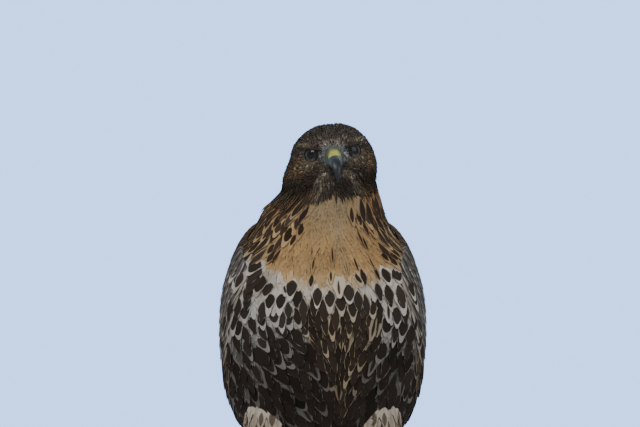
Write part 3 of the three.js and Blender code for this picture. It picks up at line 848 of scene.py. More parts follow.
@dataclass
class Coat:
    """Feathers laid over a surface from scattered roots."""

    PATCH = 0.0014  # half the size of a vane's patch in the unwrap

    name: str
    surface: "Loft | Head"
    roots: Roots
    length: Array
    width: Array
    marks: Marks
    shape: VaneShape
    finish: "Plumage"
    slot: str
    base: float = -2.0
    slope: float = 0.13
    curl: float = 0.05
    climb: "Array | float" = 0.0

    def build(self) -> None:
        """Lays each vane from its root: run and across give its place on the surface, and its
        height grows evenly with run, so that it lies over the ones behind it."""
        chance = dice(0)
        count = len(self.roots)
        length, width = self.length[:, None], self.width[:, None]
        u, v, side, faces, rim = self.shape.grid()
        seeds = chance.random(count)
        run, across = self.shape.outline(u[None], v[None], seeds[:, None])
        run, across = run * length, across * width / 2
        lift = self.curl * chance.normal(0.6, 0.6, count)[:, None] * length * v[None] ** 3
        fold = self.shape.camber * width / 2 * u[None] ** 2 * np.sin(np.pi * np.minimum(v, 0.9))[None]
        skew = chance.normal(0, 0.04, count)[:, None] * across
        rise = self.base + self.slope * run + lift - fold + skew + side[None] * self.shape.thick
        rise = rise + chance.normal(0, 0.12, count)[:, None] + np.broadcast_to(self.climb, (count,))[:, None]
        centre = unrolled(self.roots.place, self.roots.angle, self.surface)
        patch = np.stack([u, 2 * v - 1], -1) * self.PATCH
        Piece(
            self.name, self.surface.lay(self.roots, run, across, rise).reshape(-1, 3),
            repeated(faces, count, len(u)), self.finish, self.slot,
            bake=(centre[:, None] + patch[None]).reshape(-1, 2),
            fields=self.marks.carried(u, v, seeds), rim=np.tile(rim, count),
        ).build()


def unrolled(place: Array, angle: Array, surface: "Loft | Head") -> Array:
    """The skin unrolled: angle across and place upwards, each thigh on a strip of its own.

    Args:
        place: Place through the rows.
        angle: Angle round the section.
        surface: What the place is on.

    Returns:
        Flat coordinates from 0 to 1.
    """
    turn = np.mod(angle / (2 * np.pi), 1.0)
    if isinstance(surface, Thigh):
        start = 0.68 if surface.side > 0 else 0.84
        return np.stack([start + turn * 0.14, 0.02 + place / 5 * 0.9], -1)
    return np.stack([0.01 + turn * 0.63, 0.02 + place / 15 * 0.96], -1)


@dataclass(frozen=True)
class Sowing:
    """A field of roots over part of a loft."""

    low: float
    high: float
    start: float = 0.0
    end: float = 360.0
    jitter: float = 0.25

    CUTS = (97, 145)  # along and round the loft
    EVEN = (0.7548776662, 0.5698402910)  # steps of the even sequence
    BELOW_ONE = 0.999999  # keeps a share inside its own row of the table

    def roots(self, loft: Loft, spacing: "SpacingRule") -> Roots:
        """Scatters roots evenly, more where the spacing is small.

        The surface is cut into cells; each cell's area over the square of the spacing gives its
        share of the roots, and an even two-number sequence is drawn through those shares.

        Args:
            loft: The surface.
            spacing: Gives the distance between roots at a point.

        Returns:
            The roots, each lying down the loft.
        """
        cuts, cuts_round = self.CUTS
        places = np.linspace(self.low, self.high, cuts)
        angles = np.radians(np.linspace(self.start, self.end, cuts_round))
        grid = np.meshgrid(places, angles, indexing="ij")
        point, by_place, by_angle, normal = loft.frame(*grid)
        area = length_of(np.cross(by_place, by_angle))
        density = area / spacing(point, normal, *grid) ** 2
        step = places[1] - places[0]
        count = int(density.sum() * (step * (angles[1] - angles[0])))
        first, second = (np.mod((np.arange(count) + 0.5) * even, 1.0) for even in self.EVEN)
        rows = np.concatenate([[0.0], np.cumsum((density.sum(1)[1:] + density.sum(1)[:-1]) / 2)])
        place = np.interp(first, rows / rows[-1], places)
        row = np.clip(np.round((place - self.low) / step), 0, cuts - 1).astype(int)
        cells = np.cumsum((density[:, 1:] + density[:, :-1]) / 2, axis=1)
        table = np.concatenate([np.zeros((cuts, 1)), cells], axis=1) / np.maximum(cells[:, -1:], 1e-9)
        flat = (table * self.BELOW_ONE + np.arange(cuts)[:, None]).ravel()
        angle = np.interp(row + second * self.BELOW_ONE, flat, np.tile(angles, cuts))
        chance = dice(0)
        _, by_place, by_angle, normal = loft.frame(place, angle)
        gap = spacing(loft.point(place, angle), normal, place, angle) * self.jitter
        place = place + chance.normal(0, 0.5, count) * gap / length_of(by_place)
        reach = np.maximum(length_of(by_angle), 1.0)
        angle = angle + chance.normal(0, 0.5, count) * gap / reach
        point, by_place, by_angle, normal = loft.frame(place, angle)
        return Roots(place, angle, point, normal, -unit(by_place))


@dataclass(frozen=True)
class SpacingRule:
    """Distance between roots, read from a list by place, and closer towards the front."""

    by_place: tuple[float, ...]
    front: float = 1.0

    def __call__(self, point: Array, normal: Array, place: Array, angle: Array) -> Array:
        """The spacing at places of a loft."""
        base = np.interp(place, np.arange(len(self.by_place)), self.by_place)
        return base * mix(1.0, self.front, smoothstep(np.cos(angle), -0.2, 0.6))


# Colours of the plumage


class Tone(Enum):
    """Linear colours of the bird's plumage and bare parts."""

    BUFF = (0.31, 0.19, 0.085)
    PALE_BUFF = (0.43, 0.31, 0.165)
    DULL_BUFF = (0.19, 0.155, 0.10)
    CREAM = (0.40, 0.37, 0.31)
    WHITE = (0.41, 0.405, 0.39)
    RUST = (0.20, 0.115, 0.055)
    OLIVE = (0.135, 0.112, 0.068)
    BROWN = (0.06, 0.039, 0.026)
    DARK = (0.016, 0.0115, 0.0095)
    SLATE = (0.06, 0.055, 0.052)
    MIXED = (0.22, 0.21, 0.20)
    ASH = (0.19, 0.205, 0.215)
    CROWN = (0.085, 0.07, 0.06)
    RED = (0.33, 0.10, 0.035)

    def rgb(self) -> Array:
        """The colour as an array."""
        return np.array(self.value, float)


def blended(layers: list[tuple[Array, "Tone"]], ground: Tone) -> Array:
    """Colours painted over each other, each by its own share at each point.

    Args:
        layers: Pairs of shares and colours, the topmost last.
        ground: The colour under them all.

    Returns:
        One colour for each point.
    """
    colour = np.broadcast_to(ground.rgb(), layers[0][0].shape + (3,)).copy()
    for share, tone in layers:
        colour = mix(colour, tone.rgb(), share[..., None])
    return colour


@dataclass(frozen=True)
class Markings:
    """The bird's colours by place, shared by the skin and the feathers over it."""

    breast_top: float = 334.0
    breast_top_half: float = 15.0
    breast_spread: float = 0.86
    hem: float = 261.0
    hem_bend: float = 0.0062

    def zones(self, points: Array, angle: Array) -> dict[str, Array]:
        """Shares of the breast, the belly, the lower belly, the neck's sides and the back.

        The breast is a funnel that opens downwards to a curved hem, the belly lies under the
        hem, and the back is whatever is turned away. The crease is a shadow down the breast,
        and the heart a brown patch down the belly's middle.

        Args:
            points: Points of the trunk.
            angle: Angle round the trunk.

        Returns:
            A share from 0 to 1 for each zone's name, and x and the height as the camera sees it.
        """
        x = points[..., 0]
        seen = points[..., 2] - 0.14 * (points[..., 1] + 60.0)
        middle = 6.0 + 4.0 * smoothstep(seen, 290, 335)
        aside = np.abs(x - middle)
        half = self.breast_top_half + (self.breast_top - seen) * self.breast_spread
        hem = self.hem + self.hem_bend * (x - 6.0) ** 2
        ragged = 3.0 * np.sin(x * 0.42 + 0.8) * np.sin(x * 0.13)
        above_hem = smoothstep(seen - hem + ragged, -6, 6)
        funnel = smoothstep(half - aside, -7, 9)
        back = smoothstep(-np.cos(angle), 0.15, 0.5)
        line = x - 15 + (seen - 300) * 0.10 + 3 * np.sin(seen * 0.09)
        heart = smoothstep((seen - 186) * 0.42 + 14 - np.abs(x - 13 - (250 - seen) * 0.04), -6, 8)
        return {
            "breast": above_hem * funnel * (1 - back),
            "neck": above_hem * (1 - funnel) * (1 - back),
            "belly": (1 - above_hem) * (1 - back),
            "low": smoothstep(240 - seen, -10, 45),
            "fringe": 1 - smoothstep(half - aside, 2, 27),
            "crease": bell(line, 4.5) * smoothstep(seen, 258, 285) * smoothstep(340 - seen, 0, 20),
            "heart": heart * (1 - above_hem) * smoothstep(258 - seen, 0, 26),
            "back": back,
            "x": x,
            "seen": seen,
        }

    def patchy(self, points: Array) -> Array:
        """Broad soft patches about 1, from two waves that bend each other."""
        x, z = points[..., 0], points[..., 2]
        first = np.sin(x * 0.13 + 1.6 * np.sin(z * 0.06 + 0.7))
        return 1.0 + 0.07 * first + 0.07 * np.sin(z * 0.17 + 1.9 * np.sin(x * 0.075 + 2.1))

    def ground(self, points: Array, angle: Array) -> Array:
        """The colour of the feathers' own ground.

        Args:
            points: Points of the trunk.
            angle: Angle round the trunk.

        Returns:
            One colour for each point, painted zone over zone.
        """
        z = self.zones(points, angle)
        x, seen, belly, neck, breast = (z[name] for name in ("x", "seen", "belly", "neck", "breast"))
        high = smoothstep(seen, 284, 322) * smoothstep(34 - np.abs(x - 6), 0, 22)
        colour = blended(
            [
                (belly, Tone.WHITE),
                (belly * smoothstep(seen, 226, 262) * 0.3, Tone.PALE_BUFF),
                (belly * smoothstep(250 - seen, 0, 30) * 0.3, Tone.DULL_BUFF),
                (belly * z["low"] * 0.86, Tone.SLATE),
                (belly * smoothstep(np.abs(x - 8), 44, 66) * 0.15, Tone.MIXED),
                (z["heart"] * 0.7, Tone.DULL_BUFF),
                (z["heart"] * 0.3, Tone.PALE_BUFF),
                (neck, Tone.RUST),
                (neck * smoothstep(326 - seen, 0, 30) * 0.85, Tone.PALE_BUFF),
                (breast, Tone.PALE_BUFF),
                (breast * smoothstep(seen, 252, 280), Tone.BUFF),
                (breast * high * 0.7, Tone.DULL_BUFF),
                (breast * z["crease"] * 0.5, Tone.DULL_BUFF),
                (z["back"], Tone.BROWN),
            ],
            Tone.CREAM,
        )
        return colour * self.patchy(points)[..., None]

    def under(self, roots: Roots, reach: float) -> Marks:
        """What is drawn on the trunk's feathers: grounds by zone with a chance brighter or
        darker, faint shafts in front, and broad dark middles on the back and the neck's sides.

        Args:
            roots: Where they grow.
            reach: How far ahead of its root a feather's shown part lies.

        Returns:
            The marks.
        """
        chance = dice(1)
        count = len(roots)
        tip = roots.point + roots.lie * reach
        z = self.zones(tip, roots.angle)
        ground = self.ground(tip, roots.angle) * varied(chance, count, 0.085, 0.7, 1.3)[:, None]
        above = np.maximum(z["back"], z["neck"])
        high = smoothstep(tip[:, 2], 296, 312) * above
        ground = ground * np.where(chance.random(count) < 0.3, 1.0 + 1.6 * high, 1.0)[:, None]
        strength = 0.1 + z["back"] * 0.75 + z["neck"] * 0.6 + z["belly"] * z["low"] * 0.3
        wide = mix(0.06, mix(0.4, 0.95, chance.random(count)), above)
        wide = mix(wide, 0.7, z["belly"] * z["low"])
        form = np.stack([wide, np.full(count, 0.2), np.full(count, 0.96)], -1)
        mark = np.tile(Tone.DARK.rgb(), (count, 1))
        return Marks(ground.clip(0, 0.9), mark, strength.clip(0, 1), form)

    def drops(self, roots: Roots, reach: float) -> tuple[Marks, Array, Array, Array]:
        """The feathers that carry the dark drops: broad ones on the belly, larger and closer
        lower down, long narrow ones on the neck's sides and down the belly's middle, and a few
        thin ones on the breast.

        Args:
            roots: Where they grow.
            reach: How far ahead of its root a feather's drop lies.

        Returns:
            The marks, each feather's length and width, and which roots carry one.
        """
        chance = dice(3)
        count = len(roots)
        tip = roots.point + roots.lie * reach
        z = self.zones(tip, roots.angle)
        belly, low, neck, heart, breast, fringe = (
            z[name] for name in ("belly", "low", "neck", "heart", "breast", "fringe")
        )
        heart = heart * belly
        keep = (chance.random(count) < 1 - (0.94 - 0.75 * fringe) * breast) & (z["back"] < 0.5)
        width = mix(11.6, 13.8, low) * belly + 9.6 * neck + mix(5.0, 9.0, fringe) * breast
        width = mix(width, 8.6, heart * 0.9) * varied(chance, count, 0.1, 0.75, 1.3)
        length = mix(29.0, 30.0, low) * belly + 25.0 * neck + 24.0 * breast
        length = length * varied(chance, count, 0.06, 0.8, 1.2)
        wide = mix(0.74, 0.94, low) * belly + 0.66 * neck + mix(0.35, 0.7, fringe) * breast
        wide = (mix(wide, 0.84, heart) * chance.normal(1.0, 0.13, count)).clip(0.12, 1.0)
        wide = np.where(chance.random(count) < 0.07, 0.3 * wide, wide)
        start = mix(0.39, 0.28, low) * belly + 0.22 * neck + 0.34 * breast
        start = mix(start, 0.2, heart)
        ground = self.ground(tip, roots.angle) * varied(chance, count, 0.08, 0.7, 1.3)[:, None]
        tone = varied(chance, count, 0.25, 0.5, 1.8)[:, None]
        mark = mix(Tone.DARK.rgb(), Tone.BROWN.rgb(), (0.1 + 0.3 * neck)[:, None]) * tone
        end = mix(0.78, 0.9, chance.random(count))
        full = np.maximum(np.maximum(low * belly, heart), neck)
        end = np.where(chance.random(count) < 0.4 + 0.4 * full, 1.05, end)
        form = np.stack([wide, start, end], -1)
        return Marks(ground.clip(0, 0.9), mark, np.full(count, 0.97), form), length, width, keep

    def head_ground(self, level: Array, fleck: "Array | float" = 0.5) -> Array:
        """The colour of the head: painted shade round the eye, darker on the cheek's lower part, whitish at
        the bill's root, with a pale stripe down each side of the throat.

        Each marking is a product of steps along the axes of the level head.

        Args:
            level: Points of the level head.
            fleck: How much of the whitish colour each point takes at the forehead.

        Returns:
            One colour for each point.
        """
        x, y, z = np.abs(level[..., 0]), level[..., 1], level[..., 2]
        step = smoothstep
        forehead = step(-y, 17, 27) * step(z, 1, 6) * step(13 - x, 0, 6) * step(14 - z, 0, 5)
        lore = step(-y, 8, 18) * step(9 - z, 0, 4) * step(z, -12, -5) * step(15 - x, 0, 5)
        brow = bell(z - 10.0, 2.4) * step(x, 17, 23) * step(-y, -6, 6)
        tan = step(-2 - z, 0, 4) * step(z, -15, -10) * step(x, 9, 14) * step(-y, -8, 4)
        rear = step(2 - z, 0, 6) * step(z, -26, -14) * step(x, 24, 30)
        malar = step(-13.5 - z, 0, 5) * step(x - 11 + (z + 16) * 0.55, 0, 6) * (1 - 0.55 * rear)
        stripe = bell(x - 9.6 + (z + 18) * 0.62, 3.1) * step(-14 - z, 0, 3) * step(-y, 0, 8)
        stripe = stripe * step(z, -36, -27)
        eye_gap = np.hypot(x - Head.EYE_SPACING, z - 0.5)
        # socket: painted shade round the eye, where the brow's shadow falls
        socket = step(10.5 - eye_gap, 0, 3) * step(-y, 4, 12) * step(x + 0.9 * z, 15, 20)
        throat = step(-19 - z, 0, 6) * step(1.5 - x - (z + 16) * 0.45, 0, 5)
        collar = step(-25 - z, 0, 8) * step(x, 12, 20)
        return blended(
            [
                (step(y, 4, 22) * 0.55, Tone.RUST),
                (rear * 0.75, Tone.RUST),
                (tan * 0.6, Tone.OLIVE),
                (forehead * fleck, Tone.CREAM),
                (lore * (0.6 + 0.4 * fleck), Tone.ASH),
                (brow * 0.75, Tone.DULL_BUFF),
                # painted shade round the eye
                (socket * 0.7, Tone.BROWN),
                (malar * 0.95, Tone.BROWN),
                (malar * 0.4, Tone.DARK),
                (throat * 0.7, Tone.BROWN),
                (collar * 0.6, Tone.RUST),
                (stripe * 0.95, Tone.DULL_BUFF),
                (stripe * 0.25, Tone.CREAM),
            ],
            Tone.CROWN,
        )

    def head(self, points: Array) -> Marks:
        """What is drawn on the head's feathers: a dark shaft streak on each, and here and there
        a paler feather.

        Args:
            points: Where the feathers lie.

        Returns:
            The marks.
        """
        chance = dice(2)
        count = len(points)
        tone = varied(chance, count, 0.22, 0.4, 1.7) * np.where(chance.random(count) < 0.12, 2.3, 1.0)
        fleck = np.where(chance.random(count) < 0.6, 0.95, 0.15)
        ground = (self.head_ground(Head.level(points), fleck) * tone[:, None]).clip(0, 0.6)
        wide = mix(0.3, 0.7, chance.random(count))
        mark = np.broadcast_to(Tone.DARK.rgb(), (count, 3))
        strength = mix(0.45, 0.9, chance.random(count))
        form = np.stack([wide, np.full(count, 0.02), np.full(count, 1.0)], -1)
        return Marks(ground, mark, strength, form)


# Shader node groups and finishes


class Graph:
    """A node tree that is being wired."""

    def __init__(self, tree: bpy.types.NodeTree) -> None:
        """Starts on a tree."""
        self.tree = tree

    def node(self, kind: str, inputs: dict | None = None, **settings: object) -> Node:
        """A new node.

        Args:
            kind: Its type.
            inputs: Sockets to join, or plain values, by the socket's name or number.
            settings: The node's own options.

        Returns:
            The node.
        """
        made = self.tree.nodes.new(kind)
        for key, value in settings.items():
            setattr(made, key, value)
        for key, value in (inputs or {}).items():
            self.feed(made.inputs[key], value)
        return made

    def feed(self, socket: Socket, value: object) -> None:
        """Joins a socket to another, or sets its value, a colour from its three numbers."""
        if isinstance(value, Socket):
            self.tree.links.new(value, socket)
        else:
            socket.default_value = (*value, 1.0) if socket.type == "RGBA" else value

    def math(self, operation: str, first: object, second: object = 0.0) -> Socket:
        """One operation on two numbers."""
        return self.node("ShaderNodeMath", {0: first, 1: second}, operation=operation).outputs[0]

    def times(self, first: object, second: object) -> Socket:
        """The product of two numbers."""
        return self.math("MULTIPLY", first, second)

    def step(
        self, value: object, low: object, high: object, first: float = 0.0, last: float = 1.0
    ) -> Socket:
        """A smooth step of a number from first at low to last at high."""
        inputs = {"Value": value, "From Min": low, "From Max": high, "To Min": first, "To Max": last}
        return self.node("ShaderNodeMapRange", inputs, interpolation_type="SMOOTHSTEP").outputs[0]

    def blend(self, share: object, first: object, second: object, mode: str = "MIX") -> Socket:
        """Two colours mixed by a share."""
        made = self.node("ShaderNodeMix", data_type="RGBA", blend_type=mode)
        for index, value in ((0, share), (6, first), (7, second)):
            self.feed(made.inputs[index], value)
        return made.outputs[2]

    def shaded(self, colour: object, bright: Socket) -> Socket:
        """A colour made darker or brighter by a number."""
        return self.blend(1.0, colour, self.vector(bright, bright, bright), "MULTIPLY")

    def split(self, vector: object) -> tuple[Socket, ...]:
        """The three numbers of a vector."""
        return tuple(self.node("ShaderNodeSeparateXYZ", {0: vector}).outputs)

    def vector(self, x: object, y: object, z: object) -> Socket:
        """A vector of three numbers."""
        return self.node("ShaderNodeCombineXYZ", {0: x, 1: y, 2: z}).outputs[0]

    def noise(self, vector: object, scale: object, detail: float = 2.0) -> Socket:
        """Soft noise from 0 to 1."""
        inputs = {"Vector": vector, "Scale": scale, "Detail": detail}
        return self.node("ShaderNodeTexNoise", inputs).outputs[0]

    def attribute(self, name: str) -> Node:
        """A value that the piece's mesh carries."""
        return self.node("ShaderNodeAttribute", attribute_name=name)


FLOAT, VECTOR, COLOUR = "NodeSocketFloat", "NodeSocketVector", "NodeSocketColor"


class SharedGroup:
    """A shader node group that is built once and placed in many materials."""

    name = ""
    gives: dict[str, str] = {}
    takes: dict[str, tuple[str, object]] = {}

    def wire(self, graph: Graph, given: Node) -> dict[str, Socket]:
        """Wires the group's inside and returns what each output shows."""
        raise NotImplementedError

    def tree(self) -> bpy.types.NodeTree:
        """The group's tree, built on first use."""
        if self.name in bpy.data.node_groups:
            return bpy.data.node_groups[self.name]
        tree = bpy.data.node_groups.new(self.name, "ShaderNodeTree")
        for label, (kind, value) in self.takes.items():
            socket = tree.interface.new_socket(label, in_out="INPUT", socket_type=kind)
            if value is not None:
                socket.default_value = value
        for label, kind in self.gives.items():
            tree.interface.new_socket(label, in_out="OUTPUT", socket_type=kind)
        graph = Graph(tree)
        given, shown = graph.node("NodeGroupInput"), graph.node("NodeGroupOutput")
        for label, socket in self.wire(graph, given).items():
            graph.feed(shown.inputs[label], socket)
        return tree

    def place(self, graph: Graph, **values: object) -> Node:
        """Puts the group into a material.

        Args:
            graph: The material's graph.
            values: Inputs by name, with _ for a space.

        Returns:
            The group's node.
        """
        made = graph.node("ShaderNodeGroup", node_tree=self.tree())
        for key, value in values.items():
            graph.feed(made.inputs[key.replace("_", " ")], value)
        return made


class VanePattern(SharedGroup):
    """A feather's own pattern: a ground, a dark drop along the shaft, a pale rim and barbs.

    The drop's half width swells and closes like a sine between its start and end, blunter
    towards the tip, and is frayed by the barbs. They are noise drawn out along lines that
    slant from the shaft to the tip.
    """

    FRAY = 0.42  # how far the barbs draw the drop's edge in and out

    name = "vane pattern"
    takes = {
        "Ground": (COLOUR, None),
        "Mark": (COLOUR, None),
        "Strength": (FLOAT, 1.0),
        "Form": (VECTOR, None),
        "Vane": (VECTOR, None),
        "Barbs Across": (FLOAT, 9.0),
        "Barbs Along": (FLOAT, 3.0),
        "Slant": (FLOAT, 1.0),
        "Barb Depth": (FLOAT, 0.35),
        "Shaft": (FLOAT, 0.5),
        "Rim": (FLOAT, 0.3),
        "Rim Colour": (COLOUR, None),
    }
    gives = {"Color": COLOUR, "Height": FLOAT}

    def wire(self, graph: Graph, given: Node) -> dict[str, Socket]:
        """Wires the pattern."""
        u, v, seed = graph.split(given.outputs["Vane"])
        width, start, end = graph.split(given.outputs["Form"])
        off = graph.math("ABSOLUTE", u)
        across = graph.times(u, given.outputs["Barbs Across"])
        slanted = graph.math("SUBTRACT", v, graph.times(off, given.outputs["Slant"]))
        length = graph.times(slanted, given.outputs["Barbs Along"])
        barbs = graph.noise(graph.vector(across, length, graph.times(seed, 57.0)), 1.0, 3.0)
        uneven = graph.math("SUBTRACT", barbs, 0.5)
        share = graph.node("ShaderNodeMapRange", {0: v, 1: start, 2: end}).outputs[0]
        turn = graph.times(graph.math("POWER", share, 1.15), math.pi)
        swell = graph.math("POWER", graph.math("MAXIMUM", graph.math("SINE", turn), 0.0), 0.5)
        half = graph.times(width, swell)
        frayed = graph.math("ADD", half, graph.times(uneven, self.FRAY))
        drop = graph.step(graph.math("SUBTRACT", frayed, off), -0.10, 0.12)
        drop = graph.times(graph.times(drop, graph.step(half, 0.01, 0.05)), given.outputs["Strength"])
        edge = graph.step(graph.math("MAXIMUM", off, v), 0.72, 0.98)
        rim = graph.times(edge, given.outputs["Rim"])
        colour = graph.blend(rim, given.outputs["Ground"], given.outputs["Rim Colour"])
        colour = graph.blend(drop, colour, given.outputs["Mark"])
        shaft = graph.times(graph.step(off, 0.0, 0.09, 1.0, 0.0), given.outputs["Shaft"])
        colour = graph.blend(shaft, colour, graph.blend(0.5, colour, given.outputs["Mark"]))
        shade = graph.times(graph.times(uneven, given.outputs["Barb Depth"]), 2.0)
        colour = graph.shaded(colour, graph.math("ADD", shade, 1.0))
        return {"Color": colour, "Height": graph.math("ADD", barbs, graph.times(shaft, 0.8))}


class CrossBars(SharedGroup):
    """Bars across a vane: a wave along it, bent by noise, whose crests are the bars."""

    name = "cross bars"
    takes = {"Vane": (VECTOR, None), "Count": (FLOAT, 7.0), "Wobble": (FLOAT, 0.6), "Thin": (FLOAT, 0.2)}
    gives = {"Mask": FLOAT}

    def wire(self, graph: Graph, given: Node) -> dict[str, Socket]:
        """Wires the bars."""
        u, v, seed = graph.split(given.outputs["Vane"])
        spot = graph.vector(graph.times(u, 2.2), graph.times(v, 9.0), graph.times(seed, 31.0))
        bend = graph.times(graph.noise(spot, 1.0, 3.0), given.outputs["Wobble"])
        bent = graph.math("ADD", v, graph.times(bend, 0.25))
        wave = graph.math("SINE", graph.times(graph.times(bent, given.outputs["Count"]), 2 * math.pi))
        low = given.outputs["Thin"]
        return {"Mask": graph.step(wave, low, graph.math("ADD", low, 0.35))}


class Grain(SharedGroup):
    """A fine grain in the piece's own space, of two sizes of noise."""

    name = "grain"
    takes = {"Fine": (FLOAT, 900.0), "Broad": (FLOAT, 120.0)}
    gives = {"Fine": FLOAT, "Broad": FLOAT}

    def wire(self, graph: Graph, given: Node) -> dict[str, Socket]:
        """Wires the two noises."""
        spot = graph.node("ShaderNodeTexCoord").outputs["Object"]
        fine = graph.noise(spot, given.outputs["Fine"], 3.0)
        return {"Fine": fine, "Broad": graph.noise(spot, given.outputs["Broad"], 4.0)}


@dataclass(frozen=True)
class Finish:
    """A surface finish."""

    name: str
    roughness: float = 0.7
    specular: float = 0.3
    bump: float = 0.2
    bump_distance: float = 0.0004

    def material(self) -> bpy.types.Material:
        """The material, built on first use."""
        if self.name in bpy.data.materials:
            return bpy.data.materials[self.name]
        made = bpy.data.materials.new(self.name)
        made.use_nodes = True
        made.node_tree.nodes.clear()
        graph = Graph(made.node_tree)
        inputs = {"Roughness": self.roughness, "Specular IOR Level": self.specular}
        shader = graph.node("ShaderNodeBsdfPrincipled", inputs)
        shown = graph.node("ShaderNodeOutputMaterial")
        graph.feed(shown.inputs["Surface"], shader.outputs[0])
        self.dress(graph, shader)
        return made

    def dress(self, graph: Graph, shader: Node) -> None:
        """Wires the finish's colour, roughness and bump into its shader."""
        raise NotImplementedError

    def raised(self, graph: Graph, shader: Node, height: Socket) -> None:
        """Adds a bump of a height to a shader."""
        inputs = {"Height": height, "Strength": self.bump, "Distance": self.bump_distance}
        graph.feed(shader.inputs["Normal"], graph.node("ShaderNodeBump", inputs).outputs[0])


@dataclass(frozen=True)
class Plumage(Finish):
    """Feathers: the vane's pattern from the attributes that the coat carries, and bars."""

    roughness: float = 0.85
    specular: float = 0.07
    barbs_across: float = 9.0
    barbs_along: float = 3.0
    slant: float = 1.0
    barb_depth: float = 0.35
    shaft: float = 0.4
    rim: float = 0.3
    rim_colour: Tone = Tone.CREAM
    bars: float = 0.0
    bar_count: float = 7.0
    bar_thin: float = 0.2
    bar_colour: Tone = Tone.DARK
    band: float = 0.0

    def dress(self, graph: Graph, shader: Node) -> None:
        """Wires the vane's pattern, then bars over it, then the tail's band and pale tip."""
        vane = graph.attribute("vane").outputs["Vector"]
        mark = graph.attribute("mark")
        own = ("barbs_across", "barbs_along", "slant", "barb_depth", "shaft", "rim")
        pattern = VanePattern().place(
            graph,
            Ground=graph.attribute("ground").outputs["Color"],
            Mark=mark.outputs["Color"],
            Strength=mark.outputs["Alpha"],
            Form=graph.attribute("form").outputs["Vector"],
            Vane=vane,
            Rim_Colour=self.rim_colour.value,
            **{name.title(): getattr(self, name) for name in own},
        )
        colour = pattern.outputs["Color"]
        if self.bars > 0:
            bars = CrossBars().place(graph, Vane=vane, Count=self.bar_count, Thin=self.bar_thin)
            share = graph.times(bars.outputs["Mask"], self.bars)
            colour = graph.blend(share, colour, self.bar_colour.value)
        if self.band > 0:
            _, v, _ = graph.split(vane)
            band = graph.times(graph.step(v, 0.905, 0.915), graph.step(v, 0.95, 0.958, 1.0, 0.0))
            colour = graph.blend(graph.times(band, self.band), colour, Tone.DARK.value)
            colour = graph.blend(graph.step(v, 0.968, 0.985), colour, Tone.PALE_BUFF.value)
        graph.feed(shader.inputs["Base Color"], colour)
        self.raised(graph, shader, pattern.outputs["Height"])


LONG_VANES = Plumage(
    "long vanes", roughness=0.6, barbs_across=2.0, barbs_along=90.0, slant=0.12, barb_depth=0.18, shaft=0.9
)
COVERT_VANES = Plumage(
    "covert vanes", roughness=0.72, barbs_across=3.0, barbs_along=24.0, slant=0.35, barb_depth=0.25, shaft=0.5
)


@dataclass(frozen=True)
class DownSkin(Finish):
    """The skin under the coat, in the coat's own colours, with fine down."""

    roughness: float = 0.9
    specular: float = 0.1

    def dress(self, graph: Graph, shader: Node) -> None:
        """Wires the colour that the skin's mesh carries, shaded by a fine grain."""
        grain = Grain().place(graph, Fine=1400.0, Broad=260.0)
        shade = graph.step(grain.outputs["Broad"], 0.3, 0.7, 0.7, 1.0)
        colour = graph.shaded(graph.attribute("ground").outputs["Color"], shade)
        graph.feed(shader.inputs["Base Color"], colour)
        self.raised(graph, shader, grain.outputs["Fine"])


@dataclass(frozen=True)
class Horn(Finish):
    """Bill and claws: one colour at the root and another at the point, with fine growth lines."""

    roughness: float = 0.32
    specular: float = 0.5
    root: Triple = (0.05, 0.09, 0.12)
    point: Triple = (0.008, 0.010, 0.014)
    turn_low: float = 0.1
    turn_high: float = 0.8

    def dress(self, graph: Graph, shader: Node) -> None:
        """Wires the turn of colour along the horn, and its grain into colour and roughness."""
        grain = Grain().place(graph, Fine=1500.0, Broad=300.0)
        fine = grain.outputs["Fine"]
        uneven = graph.times(graph.math("SUBTRACT", grain.outputs["Broad"], 0.5), 0.35)
        length = graph.math("ADD", graph.attribute("along").outputs["Fac"], uneven)
        share = graph.step(length, self.turn_low, self.turn_high)
        colour = graph.blend(share, self.root, self.point)
        colour = graph.shaded(colour, graph.step(fine, 0.35, 0.75, 0.8, 1.25))
        graph.feed(shader.inputs["Base Color"], colour)
        rough = graph.step(fine, 0.3, 0.8, self.roughness - 0.08, self.roughness + 0.14)
        graph.feed(shader.inputs["Roughness"], rough)
        self.raised(graph, shader, fine)


@dataclass(frozen=True)
class BareSkin(Finish):
    """Cere, lips, lids and legs: a colour that turns to another where the mesh says so."""

    roughness: float = 0.5
    specular: float = 0.4
    colour: Triple = (0.5, 0.45, 0.1)
    other: Triple = (0.2, 0.25, 0.22)
    fine: float = 1300.0
    broad: float = 220.0

    def dress(self, graph: Graph, shader: Node) -> None:
        """Wires the two colours by the mesh's own share, mottled by a grain."""
        grain = Grain().place(graph, Fine=self.fine, Broad=self.broad)
        fine = grain.outputs["Fine"]
        share = graph.attribute("along").outputs["Fac"]
        colour = graph.blend(share, self.colour, self.other)
        colour = graph.shaded(colour, graph.step(grain.outputs["Broad"], 0.3, 0.72, 0.72, 1.18))
        graph.feed(shader.inputs["Base Color"], colour)
        rough = graph.step(fine, 0.3, 0.8, self.roughness - 0.1, self.roughness + 0.15)
        graph.feed(shader.inputs["Roughness"], rough)
        self.raised(graph, shader, fine)


